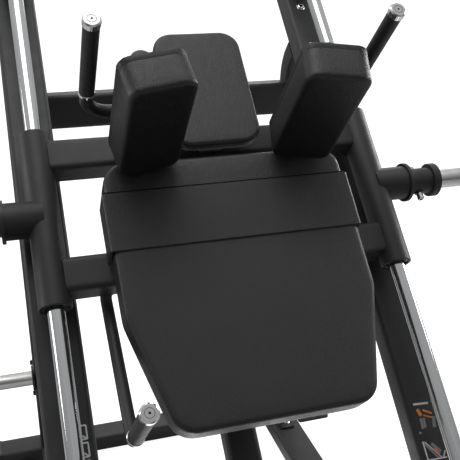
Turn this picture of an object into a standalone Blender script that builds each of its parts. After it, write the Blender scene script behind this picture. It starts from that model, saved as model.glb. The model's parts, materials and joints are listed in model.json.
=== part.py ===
"""Plate-loaded 45 degree hack squat machine: a padded carriage on two inclined guide rods.

Units are metres and +Z is up. X runs across the machine, +Y points from the foot plate to the
rear legs. Pieces on the incline are placed in slope coordinates (x, s, n): s runs up the rails
and n stands square to them, and both are measured from the loading-horn axis.
"""
import math

import bmesh
import bpy
from mathutils import Vector

# ---------------------------------------------------------------- driving dimensions
GAP = 0.0003                      # clearance between touching pieces
SLOPE = math.radians(45.0)        # incline of the rails
REAR_END = 0.815                  # rear edge of the floor plates, in y from the horn axis
FRONT_END = -1.435                # front face of the front foot tube, in y from the horn axis
CARRIAGE_Y = -(REAR_END + FRONT_END) / 2.0
CARRIAGE_Z = 1.200                # height of the loading-horn axis with the carriage parked

WALL = 0.004                      # wall of the frame tubes
RAIL_X = 0.427                    # rail centre, across
RAIL_WIDTH = 0.110
RAIL_DEPTH = 0.066
RAIL_TOP_N = -0.070               # face of the rail that looks at the guide rod
RAIL_UPPER_S = 0.830
TUBE_CORNER = 0.012

ROD_X = 0.425
ROD_RADIUS = 0.020
ROD_LOWER_S = -0.860
ROD_UPPER_S = 0.790
CLAMP_LENGTH = 0.050
CLAMP_HALF_WIDTH = 0.036
CLAMP_TOP_N = 0.032
BUMPER_LENGTH = 0.040
BUMPER_RADIUS = 0.037

SLEEVE_RADIUS = 0.0385
SLEEVE_BORE = 0.0303
SLEEVE_LOWER_S = -0.227
SLEEVE_UPPER_S = 0.223
BEARING_RADIUS = 0.030
BEARING_LENGTH = 0.080
BEARING_RECESS = 0.012
CROSS_UPPER_S = 0.1555
CROSS_LOWER_S = -0.1547
CROSS_N = -0.0095                 # the carriage tubes sit a little behind the rod axes
CROSS_HALF_S = 0.042
CROSS_HALF_N = 0.0375
COPE_STEP = 0.006                 # longest edge on a tube end that is cut to a round sleeve
COPE_TRIM = 0.020                 # a cut end comes no closer than this to the middle of the rod

BASE_BOTTOM = 0.008
BASE_HEIGHT = 0.060
BASE_TOP = BASE_BOTTOM + BASE_HEIGHT
REAR_FOOT_Y = (0.676, 0.771)
REAR_FOOT_HALF = 0.640
FRONT_FOOT_Y = (-1.435, -1.340)
FRONT_FOOT_HALF = 0.560
MIDDLE_FOOT_Y = (-0.785, -0.685)
FLOOR_PLATE_LENGTH = 0.128
FLOOR_PLATE_OVERHANG = 0.044

LEG_LEAN = 0.13                   # how far a rear leg goes back for each metre down
LEG_LINE = (0.540, 0.186)         # y and z of a point on a rear leg, from the horn axis
LEG_START_S = 0.549
LEG_BEND = 0.136
UPPER_CROSS_Y = (0.511, 0.577)
UPPER_CROSS_Z = (0.087, 0.187)

SPINE_WIDTH = 0.085
SPINE_TOP_N = -0.251
SPINE_DEPTH = 0.060
CATCH_S = -0.126                  # face of the catch block that the pawl hooks over
CATCH_LENGTH = 0.026
CATCH_HEIGHT = 0.032
CATCH_HALF_WIDTH = 0.020

FOOT_PLATE_TILT = math.radians(25.0)
FOOT_PLATE_REAR = (-0.870, 0.250)  # y from the horn axis and height of the rear edge
FOOT_PLATE_LENGTH = 0.620
FOOT_PLATE_WIDTH = 0.700
FOOT_PLATE_THICKNESS = 0.008

STORAGE_HORN_Z = 0.371
STORAGE_HORN_REACH = 0.215
HORN_RADIUS = 0.025

PAD_HALF_WIDTH = 0.294
PAD_TOP_S = 0.068
PAD_SHOULDER_S = -0.305           # where the sides of the back pad start to draw in
PAD_BOTTOM_HALF = 0.222
PAD_BOTTOM_S = -0.569
PAD_BACK_N = 0.0450
PAD_FRONT_N = 0.122
BOARD_INSET = 0.016
BOARD_N = (0.0284, 0.0447)

HEAD_HALF_WIDTH = 0.114
HEAD_S = (0.094, 0.426)
HEAD_N = (0.086, 0.124)
HEAD_CORNER = 0.050

SHOULDER_X = 0.1915
SHOULDER_S = 0.076
SHOULDER_TURN = math.radians(8.5)
SHOULDER_LEAN = math.radians(1.75)    # the top leans back from square to the back pad
SHOULDER_WIDTH = 0.147
SHOULDER_DEPTH = 0.078
SHOULDER_N = (0.130, 0.454)
SHOULDER_CORNER = 0.028

POST_X = 0.209
POST_S = 0.151
POST_RADIUS = 0.025
POST_TOP_N = 0.388
PLATE_INSET = 0.004               # the backing plate is this much smaller than its pad all round
PLATE_THICKNESS = 0.009

HANDLE_X = 0.317
HANDLE_CROSS_N = 0.206
HANDLE_TOP_N = 0.520
HANDLE_RADIUS = 0.015
HANDLE_BEND = 0.055
HANDLE_GRIP_N = (0.290, 0.507)
GRIP_RADIUS = 0.017

SOCKET_RADIUS = 0.044
SOCKET_END_X = 0.515
FLANGE_RADIUS = 0.0515
FLANGE_END_X = 0.524
HUB_RADIUS = 0.0345
STOP_X = (0.590, 0.611)
STOP_RADIUS = 0.0445
HORN_TIP_X = 0.850

PIVOT_S = -0.160
PIVOT_N = -0.0808
LEVER_TOP_X = 0.3035
LEVER_X = 0.3125
LEVER_FOOT = (-0.556, 0.0895)     # s and n of the elbow under the release grip
LEVER_TOP_N = 0.379
LEVER_RADIUS = 0.014
LEVER_BEND = 0.040
RELEASE_GRIP_N = (0.150, 0.366)
LUG_X = 0.200
SHAFT_END_X = 0.216
LUG_HALF = 0.006
PAWL_HALF = 0.008

ROUND = 32                        # sides of a large turned piece
SMALL_ROUND = 20                  # sides of a bent bar

X_AXIS = Vector((1.0, 0.0, 0.0))
Y_AXIS = Vector((0.0, 1.0, 0.0))
Z_AXIS = Vector((0.0, 0.0, 1.0))
S_AXIS = Vector((0.0, math.cos(SLOPE), math.sin(SLOPE)))
N_AXIS = Vector((0.0, -math.sin(SLOPE), math.cos(SLOPE)))
HORN_AXIS = Vector((0.0, CARRIAGE_Y, CARRIAGE_Z))
WORLD = Vector((0.0, 0.0, 0.0))

COLOURS = {
    "painted_frame": (0.045, 0.046, 0.048, 1.0),
    "chrome": (0.62, 0.63, 0.64, 1.0),
    "stainless": (0.55, 0.55, 0.54, 1.0),
    "zinc": (0.45, 0.45, 0.44, 1.0),
    "rubber": (0.02, 0.02, 0.02, 1.0),
    "leather": (0.035, 0.035, 0.036, 1.0),
    "board": (0.03, 0.03, 0.03, 1.0),
    "tread": (0.10, 0.10, 0.10, 1.0),
}


# ---------------------------------------------------------------- placing and meshes
def on_slope(x, s, n):
    return HORN_AXIS + X_AXIS * x + S_AXIS * s + N_AXIS * n


def upright(x, y, z):
    """A point at height z over the floor, with y measured from the horn axis."""
    return Vector((x, CARRIAGE_Y + y, z))


def pivot():
    return on_slope(0.0, PIVOT_S, PIVOT_N)


def clear_scene():
    for item in list(bpy.data.objects):
        bpy.data.objects.remove(item, do_unlink=True)


def material(name):
    found = bpy.data.materials.get(name)
    if found:
        return found
    made = bpy.data.materials.new(name)
    made.use_nodes = True
    shader = made.node_tree.nodes["Principled BSDF"]
    shader.inputs["Base Color"].default_value = COLOURS[name]
    return made


def make_object(name, points, faces, finish, origin=WORLD):
    mesh = bpy.data.meshes.new(name)
    mesh.from_pydata([point - origin for point in points], [], faces)
    shape = bmesh.new()
    shape.from_mesh(mesh)
    bmesh.ops.recalc_face_normals(shape, faces=shape.faces)
    shape.to_mesh(mesh)
    shape.free()
    made = bpy.data.objects.new(name, mesh)
    made.location = origin
    mesh.materials.append(material(finish))
    bpy.context.scene.collection.objects.link(made)
    return made


def merge(base, other, operation):
    """Adds the second solid to the first, or cuts it away, and keeps one object."""
    step = base.modifiers.new("merge", "BOOLEAN")
    step.operation = operation
    step.solver = "EXACT"
    step.object = other
    bpy.context.view_layer.update()
    graph = bpy.context.evaluated_depsgraph_get()
    result = bpy.data.meshes.new_from_object(base.evaluated_get(graph))
    base.modifiers.remove(step)
    base.data = result
    bpy.data.objects.remove(other, do_unlink=True)
    return base


# ---------------------------------------------------------------- outlines
def arc(centre, radius, start, end, steps):
    """Points on an arc, ends included, as (a, b) pairs."""
    angles = [start + (end - start) * i / steps for i in range(steps + 1)]
    return [(centre[0] + radius * math.cos(t), centre[1] + radius * math.sin(t)) for t in angles]


def circle(radius, sides=ROUND):
    return [(radius * math.cos(2 * math.pi * i / sides), radius * math.sin(2 * math.pi * i / sides))
            for i in range(sides)]


def rounded_rectangle(half_a, half_b, corner, steps=4):
    """Counter-clockwise outline with round corners, centred on zero."""
    outline = []
    centres = [(1, 1), (-1, 1), (-1, -1), (1, -1)]
    for turn, (side_a, side_b) in enumerate(centres):
        centre = (side_a * (half_a - corner), side_b * (half_b - corner))
        outline += arc(centre, corner, turn * math.pi / 2, (turn + 1) * math.pi / 2, steps)
    return outline


def rounded_polygon(corners, radii, steps=5):
    """Counter-clockwise outline of a convex polygon with each corner rounded by its radius."""
    outline = []
    count = len(corners)
    for i, corner in enumerate(corners):
        here = Vector(corner)
        back = (Vector(corners[i - 1]) - here).normalized()
        ahead = (Vector(corners[(i + 1) % count]) - here).normalized()
        half = math.acos(max(-1.0, min(1.0, back.dot(ahead)))) / 2.0
        centre = here + (back + ahead).normalized() * radii[i] / math.sin(half)
        first = here + back * radii[i] / math.tan(half) - centre
        last = here + ahead * radii[i] / math.tan(half) - centre
        start = math.atan2(first.y, first.x)
        sweep = math.atan2(first.x * last.y - first.y * last.x, first.dot(last))
        outline += arc(centre, radii[i], start, start + sweep, steps)
    return outline


def finer(outline, step):
    """The same outline with extra points, so that no edge is longer than a step."""
    points = []
    for i, start in enumerate(outline):
        end = outline[(i + 1) % len(outline)]
        pieces = max(1, math.ceil(math.dist(start, end) / step))
        points += [(start[0] + (end[0] - start[0]) * k / pieces,
                    start[1] + (end[1] - start[1]) * k / pieces) for k in range(pieces)]
    return points


def inset(outline, amount):
    """The same counter-clockwise outline, moved inwards by an amount."""
    moved = []
    count = len(outline)
    for i in range(count):
        here = Vector(outline[i])
        before = (here - Vector(outline[i - 1])).normalized()
        after = (Vector(outline[(i + 1) % count]) - here).normalized()
        normal = Vector((-(before.y + after.y), before.x + after.x)).normalized()
        stretch = 1.0 / max(0.3, normal.dot(Vector((-before.y, before.x))))
        moved.append(tuple(here + normal * amount * stretch))
    return moved


# ---------------------------------------------------------------- solids
def skin(name, rings, finish, inner=None, origin=WORLD):
    """Joins rings of points to a closed solid, hollow if inner rings are given."""
    size = len(rings[0])
    points = [point for ring in rings for point in ring]
    faces = strip_faces(len(rings), size, 0)
    last = (len(rings) - 1) * size
    if inner is None:
        faces.append(tuple(range(size)))
        faces.append(tuple(last + i for i in range(size)))
        return make_object(name, points, faces, finish, origin)
    offset = len(points)
    points += [point for ring in inner for point in ring]
    faces += strip_faces(len(inner), size, offset)
    inner_last = offset + (len(inner) - 1) * size
    for i in range(size):
        j = (i + 1) % size
        faces.append((i, j, offset + j, offset + i))
        faces.append((last + i, last + j, inner_last + j, inner_last + i))
    return make_object(name, points, faces, finish, origin)


def strip_faces(rings, size, offset):
    faces = []
    for ring in range(rings - 1):
        for i in range(size):
            j = (i + 1) % size
            low = offset + ring * size
            faces.append((low + i, low + j, low + size + j, low + size + i))
    return faces


def plane_cut(point, normal):
    """Where a line along a tube meets a plane."""
    def meet(start, direction):
        return start + direction * ((point - start).dot(normal) / direction.dot(normal))
    return meet


def round_cut(point, axis, radius, side, trim=0.0):
    """Where a line along a tube first meets a round bar, on the side that the tube comes from.

    A tube that is deeper than the bar stops at the trim distance from the axis of the bar.
    """
    def meet(start, direction):
        offset = start - point
        offset -= axis * offset.dot(axis)
        along = direction - axis * direction.dot(axis)
        middle = -offset.dot(along) / along.dot(along)
        nearest = offset + along * middle
        reach = math.sqrt(max(trim ** 2, radius ** 2 - nearest.dot(nearest))) / along.length
        return start + direction * (middle + side * reach)
    return meet


def straight_tube(name, start_cut, end_cut, centre, axis, across, outline, finish, wall=None,
                  origin=WORLD):
    """A straight tube or bar along an axis, with each end cut to the face that it meets."""
    up = axis.cross(across)

    def rings(shape):
        lines = [centre + across * a + up * b for a, b in shape]
        return [[start_cut(line, axis) for line in lines], [end_cut(line, axis) for line in lines]]

    inner = rings(inset(outline, wall)) if wall else None
    return skin(name, rings(outline), finish, inner, origin)


def bent_path(corners, radius, steps=6):
    """Points and directions along straight runs joined by arcs."""
    path = []
    first = (corners[1] - corners[0]).normalized()
    path.append((corners[0], first))
    for i in range(1, len(corners) - 1):
        back = (corners[i - 1] - corners[i]).normalized()
        ahead = (corners[i + 1] - corners[i]).normalized()
        half = math.acos(max(-1.0, min(1.0, back.dot(ahead)))) / 2.0
        centre = corners[i] + (back + ahead).normalized() * radius / math.sin(half)
        begin = corners[i] + back * radius / math.tan(half) - centre
        finish = corners[i] + ahead * radius / math.tan(half) - centre
        total = begin.angle(finish)
        normal = begin.cross(finish).normalized()
        for step in range(steps + 1):
            turn = total * step / steps
            arm = begin * math.cos(turn) + normal.cross(begin) * math.sin(turn)
            path.append((centre + arm, normal.cross(arm).normalized()))
    last = (corners[-1] - corners[-2]).normalized()
    path.append((corners[-1], last))
    return path


def bent_tube(name, corners, bend, outline, across, finish, wall=None, cuts=(None, None),
              origin=WORLD, steps=6):
    """A tube swept along bent runs, its section turned as little as the path allows."""
    path = bent_path(corners, bend, steps)

    def rings(shape):
        made = []
        side = across
        for index, (point, direction) in enumerate(path):
            side = (side - direction * side.dot(direction)).normalized()
            up = direction.cross(side)
            ring = [point + side * a + up * b for a, b in shape]
            cut = cuts[0] if index == 0 else cuts[1] if index == len(path) - 1 else None
            made.append([cut(spot, direction) for spot in ring] if cut else ring)
        return made

    inner = rings(inset(outline, wall)) if wall else None
    return skin(name, rings(outline), finish, inner, origin)


def turned(name, centre, axis, across, profile, finish, origin=WORLD, sides=ROUND):
    """A turned ring: a closed profile of (along, radius) pairs, open through its middle."""
    up = axis.cross(across)
    around = circle(1.0, sides)
    points = [centre + axis * along + across * (radius * a) + up * (radius * b)
              for along, radius in profile for a, b in around]
    count = len(profile)
    faces = []
    for ring in range(count):
        low = ring * sides
        high = ((ring + 1) % count) * sides
        for i in range(sides):
            j = (i + 1) % sides
            faces.append((low + i, low + j, high + j, high + i))
    return make_object(name, points, faces, finish, origin)


def turned_bar(name, centre, axis, across, profile, finish, origin=WORLD, sides=ROUND):
    """A solid turned bar: rings of (along, radius) pairs with flat ends."""
    up = axis.cross(across)
    rings = [[centre + axis * along + across * (radius * a) + up * (radius * b)
              for a, b in circle(1.0, sides)] for along, radius in profile]
    return skin(name, rings, finish, None, origin)


def slab(name, outline, place, low, high, edge, finish, origin=WORLD, steps=3):
    """A plate or cushion: an outline raised from low to high, with round edges of one radius."""
    turns = [math.pi / 2 * i / steps for i in range(steps + 1)]
    bottom = [(low + edge * (1 - math.cos(turn)), edge * (1 - math.sin(turn))) for turn in turns]
    levels = bottom if edge else [(low, 0.0)]
    levels += [(low + high - height, draw) for height, draw in reversed(levels)]
    rings = [[place(a, b, height) for a, b in inset(outline, draw)] for height, draw in levels]
    return skin(name, rings, finish, None, origin)


def block(name, centre, axes, halves, finish, origin=WORLD):
    """A plain block on three axes, with its half sizes."""
    outline = [(1, 1), (-1, 1), (-1, -1), (1, -1)]
    rings = [[centre + axes[0] * (halves[0] * a) + axes[1] * (halves[1] * b)
              + axes[2] * (halves[2] * c) for a, b in outline] for c in (-1, 1)]
    return skin(name, rings, finish, None, origin)


SIDES = (("left", -1.0), ("right", 1.0))


# ---------------------------------------------------------------- fixed frame
def rails():
    section = rounded_rectangle(RAIL_WIDTH / 2, RAIL_DEPTH / 2, TUBE_CORNER)
    middle_n = RAIL_TOP_N - RAIL_DEPTH / 2
    floor = plane_cut(upright(0, 0, BASE_TOP + GAP), Z_AXIS)
    top = plane_cut(on_slope(0, RAIL_UPPER_S, 0), S_AXIS)
    for side, sign in SIDES:
        centre = on_slope(sign * RAIL_X, 0, middle_n)
        straight_tube(f"{side}_rail", floor, top, centre, S_AXIS, X_AXIS, section,
                      "painted_frame", WALL)


def guide_rods():
    for side, sign in SIDES:
        centre = on_slope(sign * ROD_X, 0, 0)
        chamfer = 0.002
        profile = [(ROD_LOWER_S, ROD_RADIUS - chamfer), (ROD_LOWER_S + chamfer, ROD_RADIUS),
                   (ROD_UPPER_S - chamfer, ROD_RADIUS), (ROD_UPPER_S, ROD_RADIUS - chamfer)]
        turned_bar(f"{side}_guide_rod", centre, S_AXIS, X_AXIS, profile, "chrome")


def rod_clamps():
    low_n = RAIL_TOP_N + GAP
    middle_n = (low_n + CLAMP_TOP_N) / 2
    half_n = (CLAMP_TOP_N - low_n) / 2
    starts = {"lower": ROD_LOWER_S, "upper": ROD_UPPER_S - CLAMP_LENGTH}
    for side, sign in SIDES:
        for level, start in starts.items():
            centre = on_slope(sign * ROD_X, start + CLAMP_LENGTH / 2, middle_n)
            outline = rounded_rectangle(CLAMP_HALF_WIDTH, half_n, 0.006, 2)
            near = plane_cut(on_slope(0, start, 0), S_AXIS)
            far = plane_cut(on_slope(0, start + CLAMP_LENGTH, 0), S_AXIS)
            body = straight_tube(f"{side}_{level}_rod_clamp", near, far, centre, S_AXIS, X_AXIS,
                                 outline, "painted_frame")
            reach = CLAMP_LENGTH
            bore = turned_bar("bore", on_slope(sign * ROD_X, start, 0), S_AXIS, X_AXIS,
                              [(-reach, ROD_RADIUS + GAP), (2 * reach, ROD_RADIUS + GAP)],
                              "painted_frame")
            merge(body, bore, "DIFFERENCE")


def bumpers():
    lower_start = ROD_LOWER_S + CLAMP_LENGTH + GAP
    upper_start = ROD_UPPER_S - CLAMP_LENGTH - GAP - BUMPER_LENGTH
    edge = 0.004
    inner = ROD_RADIUS + GAP
    for level, start in (("lower", lower_start), ("upper", upper_start)):
        end = start + BUMPER_LENGTH
        profile = [(start, inner), (start, BUMPER_RADIUS - edge), (start + edge, BUMPER_RADIUS),
                   (end - edge, BUMPER_RADIUS), (end, BUMPER_RADIUS - edge), (end, inner)]
        for side, sign in SIDES:
            turned(f"{side}_{level}_bumper", on_slope(sign * ROD_X, 0, 0), S_AXIS, X_AXIS, profile,
                   "rubber")


def rear_legs():
    section = rounded_rectangle(RAIL_WIDTH / 2, RAIL_DEPTH / 2, TUBE_CORNER)
    rail_back_n = RAIL_TOP_N - RAIL_DEPTH - GAP
    at_rail = plane_cut(on_slope(0, 0, rail_back_n), N_AXIS)
    at_foot = plane_cut(upright(0, 0, BASE_TOP + GAP), Z_AXIS)
    line_y, line_z = LEG_LINE
    for side, sign in SIDES:
        start = on_slope(sign * RAIL_X, LEG_START_S, rail_back_n)
        on_leg = HORN_AXIS + Vector((0, line_y, line_z))
        down = Vector((0, LEG_LEAN, -1.0))
        square = -N_AXIS
        offset = on_leg - start
        reach = (offset.y * down.z - offset.z * down.y) / (square.y * down.z - square.z * down.y)
        corner = start + square * reach
        fall = (corner.z - BASE_TOP - GAP) / -down.z
        end = corner + down * fall
        bent_tube(f"{side}_rear_leg", [start, corner, end], LEG_BEND, section, X_AXIS,
                  "painted_frame", WALL, (at_rail, at_foot))


def flat_tube(name, x_range, y_range, z_range, along):
    """A frame tube that lies square to the floor, between two ends along X or Y."""
    low = upright(x_range[0], y_range[0], z_range[0])
    high = upright(x_range[1], y_range[1], z_range[1])
    centre = (low + high) / 2
    size = high - low
    across = Y_AXIS if along is X_AXIS else X_AXIS
    up_half = size.z / 2
    section = rounded_rectangle(size.dot(across) / 2, up_half, TUBE_CORNER)
    return straight_tube(name, plane_cut(low, along), plane_cut(high, along), centre, along, across,
                         section, "painted_frame", WALL)


def base_frame():
    level = (BASE_BOTTOM, BASE_TOP)
    inner = RAIL_X - RAIL_WIDTH / 2
    flat_tube("rear_foot_tube", (-REAR_FOOT_HALF, REAR_FOOT_HALF), REAR_FOOT_Y, level, X_AXIS)
    flat_tube("front_foot_tube", (-FRONT_FOOT_HALF, FRONT_FOOT_HALF), FRONT_FOOT_Y, level, X_AXIS)
    flat_tube("middle_foot_tube", (-inner + GAP, inner - GAP), MIDDLE_FOOT_Y, level, X_AXIS)
    run = (FRONT_FOOT_Y[1] + GAP, REAR_FOOT_Y[0] - GAP)
    for side, sign in SIDES:
        edges = sorted((sign * inner, sign * (inner + RAIL_WIDTH)))
        flat_tube(f"{side}_base_tube", edges, run, level, Y_AXIS)
    cross_z = (CARRIAGE_Z + UPPER_CROSS_Z[0], CARRIAGE_Z + UPPER_CROSS_Z[1])
    flat_tube("upper_cross_tube", (-inner + GAP, inner - GAP), UPPER_CROSS_Y, cross_z, X_AXIS)


def floor_plates():
    spans = {"rear": (REAR_FOOT_HALF, REAR_FOOT_Y, FLOOR_PLATE_OVERHANG),
             "front": (FRONT_FOOT_HALF, FRONT_FOOT_Y, 0.0)}
    for end, (half, run, overhang) in spans.items():
        for side, sign in SIDES:
            near = run[0] - overhang
            far = run[1] + overhang
            middle_x = sign * (half + 0.004 - FLOOR_PLATE_LENGTH / 2)
            outline = rounded_rectangle(FLOOR_PLATE_LENGTH / 2, (far - near) / 2, 0.010, 3)
            centre_y = (near + far) / 2

            def place(a, b, height, x=middle_x, y=centre_y):
                return upright(x + a, y + b, height)

            slab(f"{end}_{side}_floor_plate", outline, place, 0.0, BASE_BOTTOM - GAP, 0.0,
                 "painted_frame")


def spine():
    section = rounded_rectangle(SPINE_WIDTH / 2, SPINE_DEPTH / 2, TUBE_CORNER)
    centre = on_slope(0, 0, SPINE_TOP_N - SPINE_DEPTH / 2)
    floor = plane_cut(upright(0, 0, BASE_TOP + GAP), Z_AXIS)
    top = plane_cut(upright(0, UPPER_CROSS_Y[0] - GAP, 0), Y_AXIS)
    straight_tube("spine_tube", floor, top, centre, S_AXIS, X_AXIS, section, "painted_frame", WALL)


def catch_block():
    """The stop on the spine that the pawl hooks over, with a round nose."""
    face = CATCH_S - GAP
    low = SPINE_TOP_N + GAP
    nose = 0.008
    outline = rounded_polygon([(face - CATCH_LENGTH, low), (face, low), (face, low + CATCH_HEIGHT),
                               (face - CATCH_LENGTH, low + CATCH_HEIGHT)], [0.001, 0.001, 0.002, nose])

    def place(a, b, height):
        return on_slope(height, a, b)

    slab("catch_block", outline, place, -CATCH_HALF_WIDTH, CATCH_HALF_WIDTH, 0.0, "zinc")


def foot_plate():
    tilt_back = Vector((0.0, -math.cos(FOOT_PLATE_TILT), math.sin(FOOT_PLATE_TILT)))
    normal = Vector((0.0, math.sin(FOOT_PLATE_TILT), math.cos(FOOT_PLATE_TILT)))
    rear = upright(0, *FOOT_PLATE_REAR)
    half = FOOT_PLATE_LENGTH / 2
    outline = rounded_rectangle(FOOT_PLATE_WIDTH / 2, half, 0.020, 4)

    def place(a, b, height):
        return rear + X_AXIS * a + tilt_back * (b + half) + normal * height

    slab("foot_plate", outline, place, 0.0, FOOT_PLATE_THICKNESS, 0.0015, "tread", steps=1)


def foot_gussets():
    """Side plates that carry the foot plate, against the rails and the base tubes."""
    rear_y, rear_z = FOOT_PLATE_REAR
    slope = math.tan(FOOT_PLATE_TILT)
    front_y = rear_y - FOOT_PLATE_LENGTH * math.cos(FOOT_PLATE_TILT) + 0.030
    under = GAP / math.cos(FOOT_PLATE_TILT)
    top_rear = (rear_y - 0.020, rear_z + 0.020 * slope - under)
    top_front = (front_y, rear_z + (rear_y - front_y) * slope - under)
    floor_front = (-1.250, BASE_BOTTOM)
    floor_rear = (-0.900, BASE_BOTTOM)
    back_low = (rear_y + 0.050, 0.130)
    back_high = (rear_y + 0.050, rear_z - 0.020)
    corners = [floor_front, floor_rear, back_low, back_high, top_rear, top_front]
    outline = rounded_polygon(corners, [0.020, 0.020, 0.015, 0.015, 0.005, 0.010], 3)
    outer = RAIL_X - RAIL_WIDTH / 2 - GAP
    thickness = 0.008
    for side, sign in SIDES:
        def place(a, b, height, sign=sign):
            return upright(sign * (outer - thickness + height), a, b)

        slab(f"{side}_foot_gusset", outline, place, 0.0, thickness, 0.0, "painted_frame")


def storage_horns():
    line_y, line_z = LEG_LINE
    height = STORAGE_HORN_Z
    y = line_y + LEG_LEAN * (CARRIAGE_Z + line_z - height)
    start = RAIL_X + RAIL_WIDTH / 2 + GAP
    collar = 0.006
    edge = 0.0015
    tip = start + STORAGE_HORN_REACH
    profile = [(start, SOCKET_RADIUS), (start + collar - edge, SOCKET_RADIUS),
               (start + collar, SOCKET_RADIUS - edge), (start + collar, HORN_RADIUS),
               (tip - edge, HORN_RADIUS), (tip, HORN_RADIUS - edge)]
    for side, sign in SIDES:
        turned_bar(f"{side}_storage_horn", upright(0, y, height), X_AXIS * sign, Y_AXIS, profile,
                   "stainless")


# ---------------------------------------------------------------- carriage
def sleeves():
    edge = 0.0015
    low, high = SLEEVE_LOWER_S, SLEEVE_UPPER_S
    profile = [(low, SLEEVE_BORE), (low, SLEEVE_RADIUS - edge), (low + edge, SLEEVE_RADIUS),
               (high - edge, SLEEVE_RADIUS), (high, SLEEVE_RADIUS - edge), (high, SLEEVE_BORE)]
    for side, sign in SIDES:
        centre = on_slope(sign * ROD_X, 0, 0)
        turned(f"{side}_sleeve", centre, S_AXIS, X_AXIS, profile, "painted_frame", HORN_AXIS, 40)


def bearings():
    starts = {"lower": SLEEVE_LOWER_S + BEARING_RECESS,
              "upper": SLEEVE_UPPER_S - BEARING_RECESS - BEARING_LENGTH}
    for side, sign in SIDES:
        for level, start in starts.items():
            end = start + BEARING_LENGTH
            profile = [(start, ROD_RADIUS + GAP), (start, BEARING_RADIUS), (end, BEARING_RADIUS),
                       (end, ROD_RADIUS + GAP)]
            turned(f"{side}_{level}_bearing", on_slope(sign * ROD_X, 0, 0), S_AXIS, X_AXIS, profile,
                   "chrome", HORN_AXIS)


def carriage_tube(name, s):
    section = finer(rounded_rectangle(CROSS_HALF_S, CROSS_HALF_N, TUBE_CORNER), COPE_STEP)
    rod = on_slope(ROD_X, 0, 0)
    other = on_slope(-ROD_X, 0, 0)
    reach = SLEEVE_RADIUS + 2 * GAP
    ends = (round_cut(other, S_AXIS, reach, 1.0, COPE_TRIM),
            round_cut(rod, S_AXIS, reach, -1.0, COPE_TRIM))
    return straight_tube(name, ends[0], ends[1], on_slope(0, s, CROSS_N), X_AXIS, S_AXIS, section,
                         "painted_frame", WALL, HORN_AXIS)


def shaft_lug(x):
    """A bracket under the lower carriage tube that holds the release shaft."""
    top = CROSS_N - CROSS_HALF_N + 0.001
    radius = 0.024
    outline = [(PIVOT_S + 0.030, top), (PIVOT_S - 0.030, top)]
    outline += arc((PIVOT_S, PIVOT_N), radius, math.pi, 2 * math.pi, 8)

    def place(a, b, height):
        return on_slope(x + height, a, b)

    lug = slab("lug", outline, place, -LUG_HALF, LUG_HALF, 0.0, "painted_frame", HORN_AXIS)
    hole = turned_bar("hole", on_slope(x, PIVOT_S, PIVOT_N), X_AXIS, S_AXIS,
                      [(-0.02, LEVER_RADIUS + GAP), (0.02, LEVER_RADIUS + GAP)], "painted_frame",
                      HORN_AXIS, SMALL_ROUND)
    return merge(lug, hole, "DIFFERENCE")


def carriage_tubes():
    carriage_tube("upper_carriage_tube", CROSS_UPPER_S)
    lower = carriage_tube("lower_carriage_tube", CROSS_LOWER_S)
    for sign in (-1.0, 1.0):
        merge(lower, shaft_lug(sign * LUG_X), "UNION")


def slope_place(a, b, height):
    return on_slope(a, b, height)


def back_outline(draw=0.0):
    half = PAD_HALF_WIDTH - draw
    foot = PAD_BOTTOM_HALF - draw * 0.7
    corners = [(foot, PAD_BOTTOM_S + draw), (half, PAD_SHOULDER_S), (half, PAD_TOP_S - draw),
               (-half, PAD_TOP_S - draw), (-half, PAD_SHOULDER_S), (-foot, PAD_BOTTOM_S + draw)]
    return rounded_polygon(corners, [0.055, 0.080, 0.055, 0.055, 0.080, 0.055], 6)


def back_pad():
    slab("back_board", back_outline(BOARD_INSET), slope_place, BOARD_N[0], BOARD_N[1], 0.0, "board",
         HORN_AXIS)
    slab("back_pad", back_outline(), slope_place, PAD_BACK_N, PAD_FRONT_N, 0.018, "leather",
         HORN_AXIS)


def head_pad():
    low, high = HEAD_S
    middle = (low + high) / 2
    outline = [(a, middle + b) for a, b in
               rounded_rectangle(HEAD_HALF_WIDTH, (high - low) / 2, HEAD_CORNER, 6)]
    slab("head_pad", outline, slope_place, HEAD_N[0], HEAD_N[1], 0.012, "leather", HORN_AXIS)
    plate_n = HEAD_N[0] - GAP
    plate = 0.010
    board = [(a, middle + b) for a, b in
             rounded_rectangle(HEAD_HALF_WIDTH - 0.018, (high - low) / 2 - 0.018, 0.030, 4)]
    bracket = slab("head_bracket", board, slope_place, plate_n - plate, plate_n, 0.0, "board",
                   HORN_AXIS)
    tube_top = CROSS_N + CROSS_HALF_N + GAP
    stem_high = plate_n - plate / 2
    stem = block("stem", on_slope(0, CROSS_UPPER_S, (tube_top + stem_high) / 2),
                 (X_AXIS, S_AXIS, N_AXIS), (0.030, 0.030, (stem_high - tube_top) / 2), "board",
                 HORN_AXIS)
    merge(bracket, stem, "UNION")


def shoulder_frame(sign):
    """Centre of a shoulder pad, and the directions across it, up it and through it."""
    turn_cos = math.cos(SHOULDER_TURN)
    turn_sin = sign * math.sin(SHOULDER_TURN)
    across = X_AXIS * turn_cos - S_AXIS * turn_sin
    level = S_AXIS * turn_cos + X_AXIS * turn_sin
    up = N_AXIS * math.cos(SHOULDER_LEAN) + level * math.sin(SHOULDER_LEAN)
    through = level * math.cos(SHOULDER_LEAN) - N_AXIS * math.sin(SHOULDER_LEAN)
    low, high = SHOULDER_N
    centre = on_slope(sign * SHOULDER_X, SHOULDER_S, high) - up * ((high - low) / 2)
    return centre, across, up, through


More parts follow.
